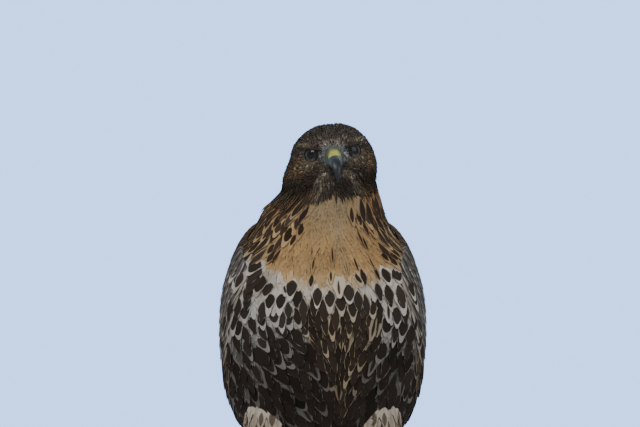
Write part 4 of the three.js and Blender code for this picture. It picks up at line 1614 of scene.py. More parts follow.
@dataclass(frozen=True)
class EyeFinish(Finish):
    """The eye: black pupil, greyish brown iris with fine rays and a dark rim, under a clear gloss."""

    PUPIL_EDGE = (0.128, 0.140)
    IRIS_EDGE = (0.19, 0.235)

    roughness: float = 0.05
    specular: float = 0.35
    iris: Triple = (0.088, 0.080, 0.068)
    pupil: Triple = (0.0015, 0.0015, 0.002)

    def dress(self, graph: Graph, shader: Node) -> None:
        """Wires rings by the distance from the eye's axis, which the mesh carries, rays, and the
        shade under the brow."""
        ring = graph.attribute("along").outputs["Fac"]
        rays = Grain().place(graph, Fine=1800.0, Broad=700.0).outputs["Broad"]
        under_brow = graph.step(graph.attribute("shade").outputs["Fac"], 0.0, 1.0, 1.0, 0.12)
        bright = graph.times(graph.step(rays, 0.3, 0.75, 0.6, 1.5), under_brow)
        iris = graph.shaded(self.iris, bright)
        iris = graph.blend(graph.step(ring, *self.IRIS_EDGE), iris, self.pupil)
        colour = graph.blend(graph.step(ring, *self.PUPIL_EDGE), self.pupil, iris)
        graph.feed(shader.inputs["Base Color"], colour)


@dataclass(frozen=True)
class FloorFinish(Finish):
    """The studio's pale floor."""

    roughness: float = 0.85
    colour: Triple = (0.62, 0.62, 0.61)

    def dress(self, graph: Graph, shader: Node) -> None:
        """Wires a nearly even pale colour with a faint grain."""
        grain = Grain().place(graph, Fine=60.0, Broad=3.0)
        shade = graph.step(grain.outputs["Broad"], 0.2, 0.8, 0.97, 1.02)
        graph.feed(shader.inputs["Base Color"], graph.shaded(self.colour, shade))

# The bird's parts


class Thigh(Loft):
    """A feathered thigh, from the ankle up into the body."""

    ROWS = np.array([
        [19, 81, 42, 88, 8.5, 0, 0],
        [12, 92, 46, 102, 12, 0, 0],
        [-2, 108, 44, 122, 17, 0, 0],
        [-22, 128, 38, 142, 23, 0, 0],
        [-40, 152, 30, 162, 26, 0, 0],
        [-42, 176, 22, 180, 22, 0, 0],
    ], float)

    def __init__(self, side: int) -> None:
        """One thigh, side 1 for the left and -1 for the right."""
        super().__init__(self.ROWS, np.array([Leg.HALF_STANCE + 1, 0.0, 0.0]), side)


@dataclass
class Flesh:
    """The one skin under all feathers: trunk, neck, head and thighs."""

    trunk: Trunk
    head: Head
    markings: Markings
    depth: float = 2.5
    face_depth: float = 1.3
    sides: int = 96
    rings: int = 150

    ENDS = (0.05, 14.9)  # places of the trunk's first and last ring
    FACE_DEPTH_FROM, FACE_TONES_FROM = (9.6, 10.6), (9.9, 10.6)
    THIGH_ENDS, THIGH_DEPTH, THIGH_RINGS, THIGH_SIDES = (0.05, 4.9), 2.2, 36, 48

    def trunk_shape(self) -> tuple[Array, Array, Array, Array]:
        """The trunk's outline drawn in by the coat's depth, with the head's brows and sockets.

        Returns:
            Points, faces, unrolled coordinates and colours.
        """
        place, angle = ring_grid(*self.ENDS, self.rings, self.sides)
        point, _, _, normal = self.trunk.frame(place, angle)
        share = smoothstep(place, *self.FACE_DEPTH_FROM)
        depth = mix(self.depth, self.face_depth, share) - self.head.swelling(point) * share
        points, faces = closed_tube(point - normal * depth[..., None])
        body, face = self.markings.ground(point, angle), self.markings.head_ground(Head.level(point))
        colour = mix(body, face, smoothstep(place, *self.FACE_TONES_FROM)[..., None])
        return points, faces, self.with_ends(unrolled(place, angle, self.trunk)), self.with_ends(colour)

    def with_ends(self, values: Array) -> Array:
        """Values by ring and side as rows, with the mean of the first and of the last ring."""
        return np.vstack([values.reshape(-1, values.shape[-1]), values[0].mean(0), values[-1].mean(0)])

    def thigh_shape(self, side: int) -> tuple[Array, Array, Array, Array]:
        """One thigh's outline drawn in by the coat's depth, as for the trunk."""
        thigh = Thigh(side)
        place, angle = ring_grid(*self.THIGH_ENDS, self.THIGH_RINGS, self.THIGH_SIDES)
        point, _, _, normal = thigh.frame(place, angle)
        points, faces = closed_tube(point - normal * self.THIGH_DEPTH)
        colour = np.tile(Tone.WHITE.rgb(), (len(points), 1))
        return points, faces, self.with_ends(unrolled(place, angle, thigh)), colour

    def build(self) -> None:
        """Joins the three shapes into one piece in place of the solids of flesh."""
        shapes = [self.trunk_shape(), self.thigh_shape(1), self.thigh_shape(-1)]
        points, faces = joined([shape[:2] for shape in shapes])
        colour = np.vstack([shape[3] for shape in shapes])
        Piece(
            "skin", points, faces, DownSkin("down skin"), "breast_feathers",
            replaces=("torso", "neck", "head", "thigh_left", "thigh_right"),
            bake=np.vstack([shape[2] for shape in shapes]),
            fields={"ground": np.hstack([colour, np.ones((len(colour), 1))])},
        ).build()


@dataclass(frozen=True)
class DropSpacing:
    """Distance between the feathers that carry drops, by the zone ahead of their roots."""

    markings: Markings
    reach: float
    belly: tuple[float, float] = (10.3, 9.7)
    heart: float = 7.6
    others: tuple[tuple[str, float], ...] = (("neck", 8.2), ("breast", 8.0), ("back", 14.0))
    least: float = 0.3

    def __call__(self, point: Array, normal: Array, place: Array, angle: Array) -> Array:
        """The spacing at places of the trunk: each zone's own, by its share."""
        z = self.markings.zones(point + np.array([0.0, -0.1, -1.0]) * self.reach, angle)
        spacing = z["belly"] * mix(mix(*self.belly, z["low"]), self.heart, z["heart"] * z["belly"])
        for zone, gap in self.others:
            spacing = spacing + z[zone] * gap
        return spacing + self.least


@dataclass(frozen=True)
class EvenSpacing:
    """Distance between the feathers of the even coat, which is closest on the breast."""

    markings: Markings
    rule: SpacingRule
    closer: float = 0.66
    ahead: Triple = (0.0, 0.0, -8.0)

    def __call__(self, point: Array, normal: Array, place: Array, angle: Array) -> Array:
        """The spacing at places of the trunk."""
        breast = self.markings.zones(point + np.array(self.ahead), angle)["breast"]
        return self.rule(point, normal, place, angle) * mix(1.0, self.closer, breast)


@dataclass
class BodyCoat:
    """The feathers of breast, belly, neck and back: a fine even coat, and over its front the
    larger feathers that carry the dark drops."""

    trunk: Trunk
    markings: Markings
    lengths: tuple[float, ...] = (22, 24, 24, 24, 22, 21, 20, 19, 17, 14, 11)
    spacing: SpacingRule = SpacingRule((6, 6.4, 6.6, 6.4, 6.0, 5.6, 5.2, 4.8, 4.3, 3.7, 3.1, 3))
    reach: float = 17.0
    large: VaneShape = VaneShape(rows=9, columns=6, round=0.3, fringe=0.10, camber=0.06, thick=0.12)
    small: VaneShape = VaneShape(rows=6, columns=4, round=0.36, fringe=0.05, camber=0.03, thick=0.1)
    belly_finish: Plumage = Plumage("belly feathers", rim=0.2, rim_colour=Tone.WHITE, shaft=0.15)
    breast_finish: Plumage = Plumage("breast feathers", rim=0.2, rim_colour=Tone.PALE_BUFF, shaft=0.12)
    neck_finish: Plumage = Plumage("neck feathers", rim=0.35, rim_colour=Tone.RUST)
    back_finish: Plumage = Plumage("back feathers", rim=0.3, rim_colour=Tone.RUST, bars=0.25, bar_count=3.0)
    drop_finish: Plumage = Plumage(
        "drop feathers", rim=0.05, rim_colour=Tone.WHITE, shaft=0.2, barb_depth=0.3
    )
    width_shares: tuple = ((0, 6, 8, 10), (0.5, 0.48, 0.46, 0.44))
    breast_width: float = 0.8
    shown: float = 12.0
    wing_margins: tuple[float, float] = (13.0, 12.0)
    wing_top: float = 7.3

    def drawn(self, roots: Roots) -> Roots:
        """The roots' lie, drawn towards the middle low on the belly and outwards at the neck."""
        x, z = roots.point[:, :1], roots.point[:, 2:]
        facing = smoothstep(-roots.normal[:, 1:2], 0.1, 0.7)
        inward = -(x - 13) / 60 * smoothstep(266 - z, 0, 40) * 1.2
        outward = (x - 8) / 60 * smoothstep(z, 262, 300) * 0.5
        roots.lie = unit(roots.lie + np.array([1.0, 0, 0]) * (inward + outward) * facing)
        return roots

    def build(self) -> None:
        """Sows the trunk once for the even coat, parts it by zone, and then adds the drops."""
        rule = EvenSpacing(self.markings, self.spacing)
        roots = self.drawn(Sowing(0.15, 10.25).roots(self.trunk, rule))
        roots = roots.only(~self.under_wing(roots))
        marks = self.markings.under(roots, self.shown)
        zones = self.markings.zones(roots.point + roots.lie * self.shown, roots.angle)
        chance = dice(4)
        count = len(roots)
        length = np.interp(roots.place, np.arange(len(self.lengths)), self.lengths)
        length = length * mix(0.85, 1.15, chance.random(count))
        width = length * np.interp(roots.place, *self.width_shares)
        width = width * mix(0.85, 1.15, chance.random(count)) * mix(1.0, self.breast_width, zones["breast"])
        taken = np.zeros(count, bool)
        for name, within, finish, slot in (
            ("back", zones["back"] > 0.5, self.back_finish, "brown_feathers"),
            ("neck", zones["neck"] > 0.5, self.neck_finish, "brown_feathers"),
            ("breast", zones["breast"] >= 0.5, self.breast_finish, "breast_feathers"),
            ("belly", np.ones(count, bool), self.belly_finish, "breast_feathers"),
        ):
            keep = within & ~taken
            taken = taken | within
            Coat(
                f"{name}_feathers", self.trunk, roots.only(keep), length[keep], width[keep], marks.only(keep),
                self.small, finish, slot, base=-1.4, slope=0.05, curl=0.008,
            ).build()
        self.build_drops()

    def build_drops(self) -> None:
        """Lays the feathers with drops, whose shown ends rise out of the even coat."""
        rule = DropSpacing(self.markings, self.reach)
        roots = self.drawn(Sowing(1.4, 10.2, -104.0, 104.0, jitter=0.22).roots(self.trunk, rule))
        roots = roots.only(~self.under_wing(roots))
        marks, length, width, keep = self.markings.drops(roots, self.reach)
        Coat(
            "drop_feathers", self.trunk, roots.only(keep), length[keep], width[keep], marks.only(keep),
            self.large, self.drop_finish, "brown_feathers", base=-1.5, slope=0.09, curl=0.01,
        ).build()

    def under_wing(self, roots: Roots) -> Array:
        """Which roots the folded wings cover: between the wing's edges, less a margin."""
        past, short = Trunk.past_edge(roots.place, roots.angle)
        return (past > self.wing_margins[0]) & (short > self.wing_margins[1]) & (roots.place < self.wing_top)


@dataclass
class ThighCoat:
    """The feathers of one thigh."""

    side: int
    length: float = 20.0
    width: float = 10.0
    spacing: SpacingRule = SpacingRule((4.2, 5, 6, 6.5, 6.5, 6.5))
    finish: Plumage = Plumage("thigh feathers", rim_colour=Tone.PALE_BUFF)
    shape: VaneShape = VaneShape(rows=6, columns=4, round=0.34, fringe=0.06)

    def build(self) -> None:
        """Sows the thigh and lays its feathers, shorter towards the ankle."""
        thigh = Thigh(self.side)
        roots = Sowing(0.25, 4.6).roots(thigh, self.spacing)
        chance = dice(5)
        count = len(roots)
        scale = np.interp(roots.place, [0, 1.5, 5], [0.6, 0.85, 1.1]) * mix(0.85, 1.15, chance.random(count))
        tone = chance.normal(1.0, 0.12, count)[:, None]
        ground = mix(Tone.WHITE.rgb(), Tone.PALE_BUFF.rgb(), 0.4) * tone
        form = np.stack([mix(0.3, 0.55, chance.random(count)), np.full(count, 0.4), np.full(count, 0.97)], -1)
        strength = np.where(chance.random(count) < 0.6, 0.85, 0.2)
        mark = np.tile(Tone.BROWN.rgb(), (count, 1))
        name = "thigh_feathers_left" if self.side > 0 else "thigh_feathers_right"
        marks = Marks(ground, mark, strength, form)
        Coat(
            name, thigh, roots, self.length * scale, self.width * scale, marks, self.shape, self.finish,
            "breast_feathers", base=-1.6,
        ).build()


@dataclass
class HeadCoat:
    """The short feathers of crown, face, throat and nape."""

    trunk: Trunk
    head: Head
    markings: Markings
    shape: VaneShape = VaneShape(rows=5, columns=2, narrow=0.55, round=0.6, fringe=0.1, thick=0.08)
    crown_finish: Plumage = Plumage("crown feathers", rim=0.25, rim_colour=Tone.CROWN, shaft=0.5)
    face_finish: Plumage = Plumage("face feathers", rim=0.15, rim_colour=Tone.CREAM, barb_depth=0.45)
    bill_root: Triple = (0.0, -34.0, -4.0)
    eye_opening: float = 6.4
    spacing: SpacingRule = SpacingRule((2.6,) * 10 + (2.3, 2.0, 1.8, 1.75, 1.8, 1.9), front=0.8)

    def roots(self) -> Roots:
        """Roots over the head: sown on the trunk's outline and carried out onto brows and
        cheeks, lying away from the bill and round the eyes, with eyes, bill and mouth bare.

        Returns:
            The roots.
        """
        sown = Sowing(9.9, 14.95).roots(self.trunk, self.spacing)
        sown.point, sown.normal = self.surface(unit(sown.point - Head.MIDDLE))
        level = Head.level(sown.point)
        half = folded(level)
        x, y, z = half.T
        axis, _ = Head.look(1)
        out = half - np.array([Head.EYE_SPACING, Head.EYE_BACK, 0.0])
        ahead = dot(out, axis)
        aside = out - axis * ahead
        gap = length_of(aside)
        round_eye = smoothstep(14.0 - gap, 0, 7)[:, None] * smoothstep(ahead, 0, 5)
        lie = unit(mix(unit(half - np.array(self.bill_root)), unit(aside), round_eye * 0.75))
        lie = unit(lie + np.array([0.0, 0.15, -0.8]) * smoothstep(-14 - half[:, 2:], 0, 8))
        lie[:, 0] *= np.where(level[:, 0] < 0, -1.0, 1.0)
        sown.lie = lie @ Head.turn().T
        opening = (gap < self.eye_opening) & (ahead[:, 0] > 2)
        cere = (x < 6.6) & (y < -24) & (z > -18) & (z < 2.8)
        mouth = (np.abs(z + 14.6) < 0.8) & (y < -18) & (x < 15)
        return sown.only(~(opening | cere | mouth))

    def surface(self, way: Array) -> tuple[Array, Array]:
        """The head's surface in given directions.

        Args:
            way: Unit directions from the head's middle.

        Returns:
            Points, and normals from the slopes a small step to either side.
        """
        helper = np.where(np.abs(way[:, 2:]) < 0.9, [[0.0, 0.0, 1.0]], [[0.0, 1.0, 0.0]])
        first = unit(np.cross(helper, way))
        steps = (first * 0.02, np.cross(way, first) * 0.02)
        slopes = (self.head.outward(unit(way + step)) - self.head.outward(unit(way - step)) for step in steps)
        return self.head.outward(unit(way)), unit(np.cross(*slopes))

    def build(self) -> None:
        """Lays the head's feathers, shortest at the bill and round the eyes."""
        roots = self.roots()
        marks = self.markings.head(roots.point + roots.lie * 2.5)
        level = Head.level(roots.point)
        chance = dice(6)
        count = len(roots)
        eye_gap = length_of(folded(level) - [[Head.EYE_SPACING + 6, Head.EYE_BACK - 7, 0]])
        bill_gap = length_of(level - np.array([[0.0, -30.0, -6.0]]))
        by_eye = mix(3.8, 10.0, smoothstep(eye_gap, 6, 30))
        by_bill = mix(4.2, 11.0, smoothstep(bill_gap, 8, 44))
        size = np.minimum(by_eye, by_bill) * mix(0.8, 1.2, chance.random(count))
        width = np.minimum(size * 0.42, 2.6) * mix(0.85, 1.15, chance.random(count))
        front = level[:, 1] < 0
        for name, keep, finish in (("crown", ~front, self.crown_finish), ("face", front, self.face_finish)):
            Coat(
                f"{name}_feathers", self.head, roots.only(keep), size[keep], width[keep], marks.only(keep),
                self.shape, finish, "brown_feathers", base=-1.0, slope=0.10, curl=0.03,
                climb=-0.8 * smoothstep(10.9 - roots.place[keep], 0, 0.8),
            ).build()


@dataclass
class Face:
    """Eyes, lids, brows, mouth, cere and bill, made level and facing -Y and then turned.

    A row of cere or bill is a section's lower edge, its ridge and its half width.
    """

    head: Head
    cere: tuple = ((-20, -13, -22, 6.4, 7.4), (-29, -13.4, -28.5, 4.2, 7.4), (-36.6, -12.8, -36, -2.6, 6.5))
    upper: tuple = (
        (-37, -12.9, -36.4, -2.9, 6.3),
        (-42.4, -13.6, -43.6, -6.2, 5.2),
        (-45.6, -15.4, -48.6, -11.6, 3.8),
        (-46.8, -19, -50.2, -17.4, 2.6),
        (-47.6, -22.6, -49.8, -22, 1.4),
        (-48.4, -25.4, -49.2, -25.2, 0.4),
    )
    lower: tuple = (
        (-20, -20, -20, -14, 6.2),
        (-31, -19.4, -31, -14.2, 5.4),
        (-38, -18.8, -38, -14.6, 4.4),
        (-43.4, -17, -43, -14.9, 2.4),
    )
    nostril: Triple = (6.1, -33.0, -5.8)
    brow_line: tuple = (
        (9.5, -25.6, 2.6), (13.0, -25.0, 4.4), (18.0, -22.0, 6.0), (23.0, -16.5, 6.8), (26.0, -10.0, 6.8),
    )
    brow_radii: tuple[float, ...] = (0.2, 1.1, 1.5, 1.1, 0.2)
    lip_radii: tuple[float, ...] = (0.9, 1.2, 0.9, 0.2)
    brow_sunk: float = 0.75
    lip_sunk: float = 0.45
    cere_finish: BareSkin = BareSkin("cere skin", colour=(0.36, 0.37, 0.075), other=(0.07, 0.085, 0.06))
    lip_finish: BareSkin = BareSkin("mouth skin", colour=(0.045, 0.05, 0.04), other=(0.07, 0.07, 0.04))
    lid_finish: BareSkin = BareSkin(
        "lid skin", roughness=0.6, specular=0.2, colour=(0.009, 0.009, 0.010), other=(0.03, 0.028, 0.026)
    )
    # the brow ridges: dark skin, and painted shadow of the brow's line over each eye
    brow_shadow_finish: BareSkin = BareSkin(
        "brow skin", roughness=0.75, specular=0.15, colour=(0.03, 0.024, 0.02), other=(0.05, 0.04, 0.032)
    )
    bill_finish: Horn = Horn(
        "bill horn", roughness=0.4, root=(0.042, 0.075, 0.1), point=(0.006, 0.009, 0.015), turn_high=0.75
    )
    eye_finish: EyeFinish = EyeFinish("clear eye")

    def put(
        self, name: str, shapes: list[Shape], share: Array, finish: Finish, slot: str,
        replaces: tuple[str, ...] = (), **more: Array,
    ) -> None:
        """Turns shapes of the level head into place and builds their piece.

        Args:
            name: The piece's name.
            shapes: Its closed shapes.
            share: The attribute that turns one colour of the finish into the other.
            finish: Its finish.
            slot: Its slot.
            replaces: The nodes it stands for.
            more: Further attributes by name.
        """
        points, faces = joined(shapes)
        fields = {"along": share, **more}
        Piece(name, Head.placed(points), faces, finish, slot, replaces=replaces, fields=fields).build()

    def build_bill(self) -> None:
        """The cere with its sunken nostrils, darkened as painted shade, the hooked upper bill and the lower
        bill.
        """
        rings = leaning_rings(self.cere, 0, len(self.cere) - 1, 34, 40)
        gap = length_of((folded(rings) - np.array(self.nostril)) / [1.0, 1.35, 1.0])
        sunk = bell(gap, 1.5)
        rings = swollen(rings, 0.5 * bell(gap - 3.2, 1.3) - 2.2 * sunk)
        across, high = np.abs(rings[..., 0]), rings[..., 2]
        yellow = smoothstep(high, -9.0, -4.0) * smoothstep(6.0 - across - 0.42 * (high + 3.5), -0.6, 2.4)
        yellow = yellow * smoothstep(3.4 - high, 0.0, 2.6)
        # the cere's grey-green edges, and painted shade in the sunken nostrils
        grey_and_nostril_shade = np.clip(1 - yellow + sunk * 2.5, 0, 1) + 1.4 * np.clip(sunk * 2, 0, 1)
        share = np.append(grey_and_nostril_shade.ravel(), [0, 0])
        self.put("cere_skin", [closed_tube(rings)], share, self.cere_finish, "yellow_skin", ("cere",))
        for node, rows, count, sides in (
            ("bill_upper", self.upper, 56, 36), ("bill_lower", self.lower, 24, 28)
        ):
            rings = leaning_rings(rows, 0, len(rows) - 1, count, sides)
            ridge = smoothstep(-np.cos(turns(sides)), 0.45, 0.9)[None]
            length = smoothstep(np.linspace(0, 1, count)[:, None], 0.12, 0.55)
            share = np.append((0.5 * ridge + length).clip(0, 1).ravel(), [0, 1])
            self.put(f"{node}_horn", [closed_tube(rings)], share, self.bill_finish, "horn", (node,))

    def build_eyes(self) -> None:
        """The eyeballs: spheres by rings about their axis, with a low clear swelling over the iris."""
        for side, word in SIDES:
            polar, turn = ring_grid(0.03, np.pi - 0.03, 60, 64)
            radius = Head.EYE_RADIUS + 0.35 * bell(polar, 0.5) - 0.35
            axis, across = Head.look(side)
            ring = across * np.cos(turn)[..., None] + np.array([0.0, 0.0, 1.0]) * np.sin(turn)[..., None]
            ball = axis * np.cos(polar)[..., None] + ring * np.sin(polar)[..., None]
            points = ball * radius[..., None] + [side * Head.EYE_SPACING, Head.EYE_BACK, 0.0]
            share = np.append((polar / np.pi).ravel(), [0, 1])
            lit = smoothstep(0.7 * side * np.cos(turn) - np.sin(turn), -0.25, 0.75)
            shade = np.append((1 - lit).ravel(), [1, 1])
            name, node = f"eyeball_{word}", (f"eye_{word}",)
            self.put(name, [closed_tube(points)], share, self.eye_finish, "eye", node, shade=shade)

    def build_lids(self) -> None:
        """The lids: a ring about each eye's opening, whose upper part is drawn down by the brow."""
        for side, word in SIDES:
            turn, roll = np.meshgrid(turns(96), turns(12), indexing="ij")
            thick = 0.6 + 0.15 * np.sin(turn)
            reach = 6.7 + thick * np.cos(roll)
            flat = np.where(np.sin(turn) > 0, 0.86, 0.96)
            depth = Head.EYE_RADIUS - 2.75 + thick * np.sin(roll) * 0.9
            axis, across = Head.look(side)
            points = across * (reach * np.cos(turn))[..., None] + axis * depth[..., None]
            points = points + [side * Head.EYE_SPACING, Head.EYE_BACK, 0.0]
            points[..., 2] = reach * np.sin(turn) * flat
            share = smoothstep(reach, 6.9, 7.6).ravel()
            self.put(f"lids_{word}", [ring_tube(points)], share, self.lid_finish, "brown_feathers")

    def laid(self, path: Array, rise: float) -> Array:
        """A path of the level head drawn to the head's surface, and raised over it."""
        return Head.level(self.head.outward(unit(Head.placed(path) - Head.MIDDLE), rise))

    def build_brows_and_mouth(self) -> None:
        """The bare brow ridges over the eyes, dark skin coloured as a painted shadow line over each eye, and
        two lips with the line of the mouth between.
        """
        brows, lips = [], []
        for side, _ in SIDES:
            turn = np.array([side, 1.0, 1.0])
            ridge = self.laid(np.array(self.brow_line) * turn, -self.brow_sunk)
            brows.append(rod(ridge, self.brow_radii, 36, 14, 0.8))
            for drop, thick in ((0.0, 0.5), (0.95, 0.45)):
                line = [[8, -26, -14.2 - drop], [10, -24, -14.1 - drop], [12.4, -21, -13.6 - drop * 0.6]]
                start = np.array([[5.2, -33, -14.2 - drop]]) * turn
                path = np.vstack([start, self.laid(np.array(line) * turn, -self.lip_sunk)])
                lips.append(rod(path, np.array(self.lip_radii) * thick, 30, 10, 0.8))
        for name, shapes, finish, slot in (
            ("brow_ridges", brows, self.brow_shadow_finish, "brown_feathers"),
            ("lips", lips, self.lip_finish, "yellow_skin"),
        ):
            share = np.concatenate([np.linspace(0, 1, len(points)) ** 3 for points, _ in shapes])
            self.put(name, shapes, share, finish, slot)

    def build(self) -> None:
        """Builds the face's pieces."""
        self.build_bill()
        self.build_eyes()
        self.build_lids()
        self.build_brows_and_mouth()


@dataclass(frozen=True)
class Tier:
    """One row of long feathers: lines of roots and of tips over a surface, and heights above it."""

    count: int
    width: float
    heights: tuple[float, float]
    roots: tuple[tuple[float, float], ...]
    tips: tuple[tuple[float, float], ...]
    shape: VaneShape
    tilt: float = -0.1
    level: float = 0.0
    sink: float = 3.0

    def lay(self, surface: "WingSurface | TailSurface", seeds: Array) -> Array:
        """Lays the row's vanes.

        A point's run is a share of the way from root to tip, its side step is turned into the
        surface's own t, and it rises evenly from the root's height to the tip's.

        Args:
            surface: What they lie on.
            seeds: A number of each feather's own.

        Returns:
            Points by feather and by place in the vane.
        """
        u, v, side, _, _ = self.shape.grid()
        share = np.linspace(0, 1, self.count)
        root = along(np.array(self.roots), share * (len(self.roots) - 1))[:, None]
        tip = along(np.array(self.tips), share * (len(self.tips) - 1))[:, None]
        tip = tip + (tip - root) * (seeds[:, None, None] - 0.5) * 0.03
        run, across = self.shape.outline(u[None], v[None], seeds[:, None])
        place = root + (tip - root) * run[..., None]
        across = across * self.width / 2 * (0.96 + 0.08 * seeds[:, None])
        level = np.arange(self.count)[:, None] * self.level
        rise = mix(self.heights[0], self.heights[1], run) + level - self.sink * (1 - smoothstep(run, 0, 0.2))
        fold = self.shape.camber * self.width / 2 * u[None] ** 2 * 0.5
        rise = rise + across * self.tilt - fold + side[None] * self.shape.thick
        s, t = place[..., 0], place[..., 1]
        return surface.point(s, t + across / surface.reach(s, t), rise)


@dataclass(frozen=True)
class TierLook:
    """Colours of a row of long feathers."""

    ground: Tone
    mark: Tone = Tone.DARK
    strength: float = 0.5
    wide: float = 0.4
    spread: float = 0.1
    pale_lead: float = 0.0
    lead_end: float = 0.35
    lead_tone: Tone = Tone.CREAM
    start: float = 0.02
    end: float = 1.05

    def marks(self, count: int, seeds: Array) -> Marks:
        """The row's marks, paler towards the leading edge where that is asked for."""
        lead = smoothstep(self.lead_end - np.linspace(0, 1, count), 0, 0.3)[:, None] * self.pale_lead
        own = 1 + self.spread * (2 * seeds[:, None] - 1)
        ground = mix(self.ground.rgb(), self.lead_tone.rgb() * 0.8, lead) * own
        strength = self.strength * (1 - 0.1 * lead[:, 0])
        form = np.tile([self.wide, self.start, self.end], (count, 1))
        return Marks(ground, np.tile(self.mark.rgb(), (count, 1)), strength, form)


@dataclass
class BladeCoat:
    """Rows of long feathers that make one piece."""

    name: str
    surface: "WingSurface | TailSurface"
    rows: list[tuple[Tier, TierLook]]
    finish: Plumage
    slot: str
    replaces: tuple[str, ...] = ()

    def build(self) -> None:
        """Lays all rows and joins them, with a strip of the unwrap for each feather."""
        chance = dice(8)
        total = sum(tier.count for tier, _ in self.rows)
        points, faces, bake, rims, carried, start, column = [], [], [], [], [], 0, 0
        for tier, look in self.rows:
            seeds = chance.random(tier.count)
            u, v, _, quads, rim = tier.shape.grid()
            points.append(tier.lay(self.surface, seeds).reshape(-1, 3))
            faces.append(repeated(quads, tier.count, len(u)) + start)
            strip = (column + np.arange(tier.count)[:, None] + 0.5 + 0.42 * u[None]) / total
            bake.append(np.stack([strip, np.broadcast_to(0.02 + 0.96 * v, strip.shape)], -1).reshape(-1, 2))
            rims.append(np.tile(rim, tier.count))
            carried.append(look.marks(tier.count, seeds).carried(u, v, seeds))
            start += tier.count * len(u)
            column += tier.count
        all_points, all_faces = joined([(np.vstack(points), np.vstack(faces))])
        Piece(
            self.name, all_points, all_faces, self.finish, self.slot, replaces=self.replaces,
            bake=np.vstack(bake), rim=np.concatenate(rims),
            fields={key: np.vstack([part[key] for part in carried]) for key in carried[0]},
        ).build()


def build_root(
    name: str, shape: Shape, finish: DownSkin, tone: Array, flat: Array, node: str, slot: str
) -> None:
    """Builds the flesh that long feathers grow from.

    Args:
        name: The piece's name.
        shape: Its points and faces.
        finish: Its finish.
        tone: Its one colour.
        flat: Its unwrap, point by point.
        node: The node it stands for.
        slot: Its slot.
    """
    points, faces = shape
    ground = np.tile(np.append(tone, 1.0), (len(points), 1))
    Piece(name, points, faces, finish, slot, replaces=(node,), bake=flat, fields={"ground": ground}).build()


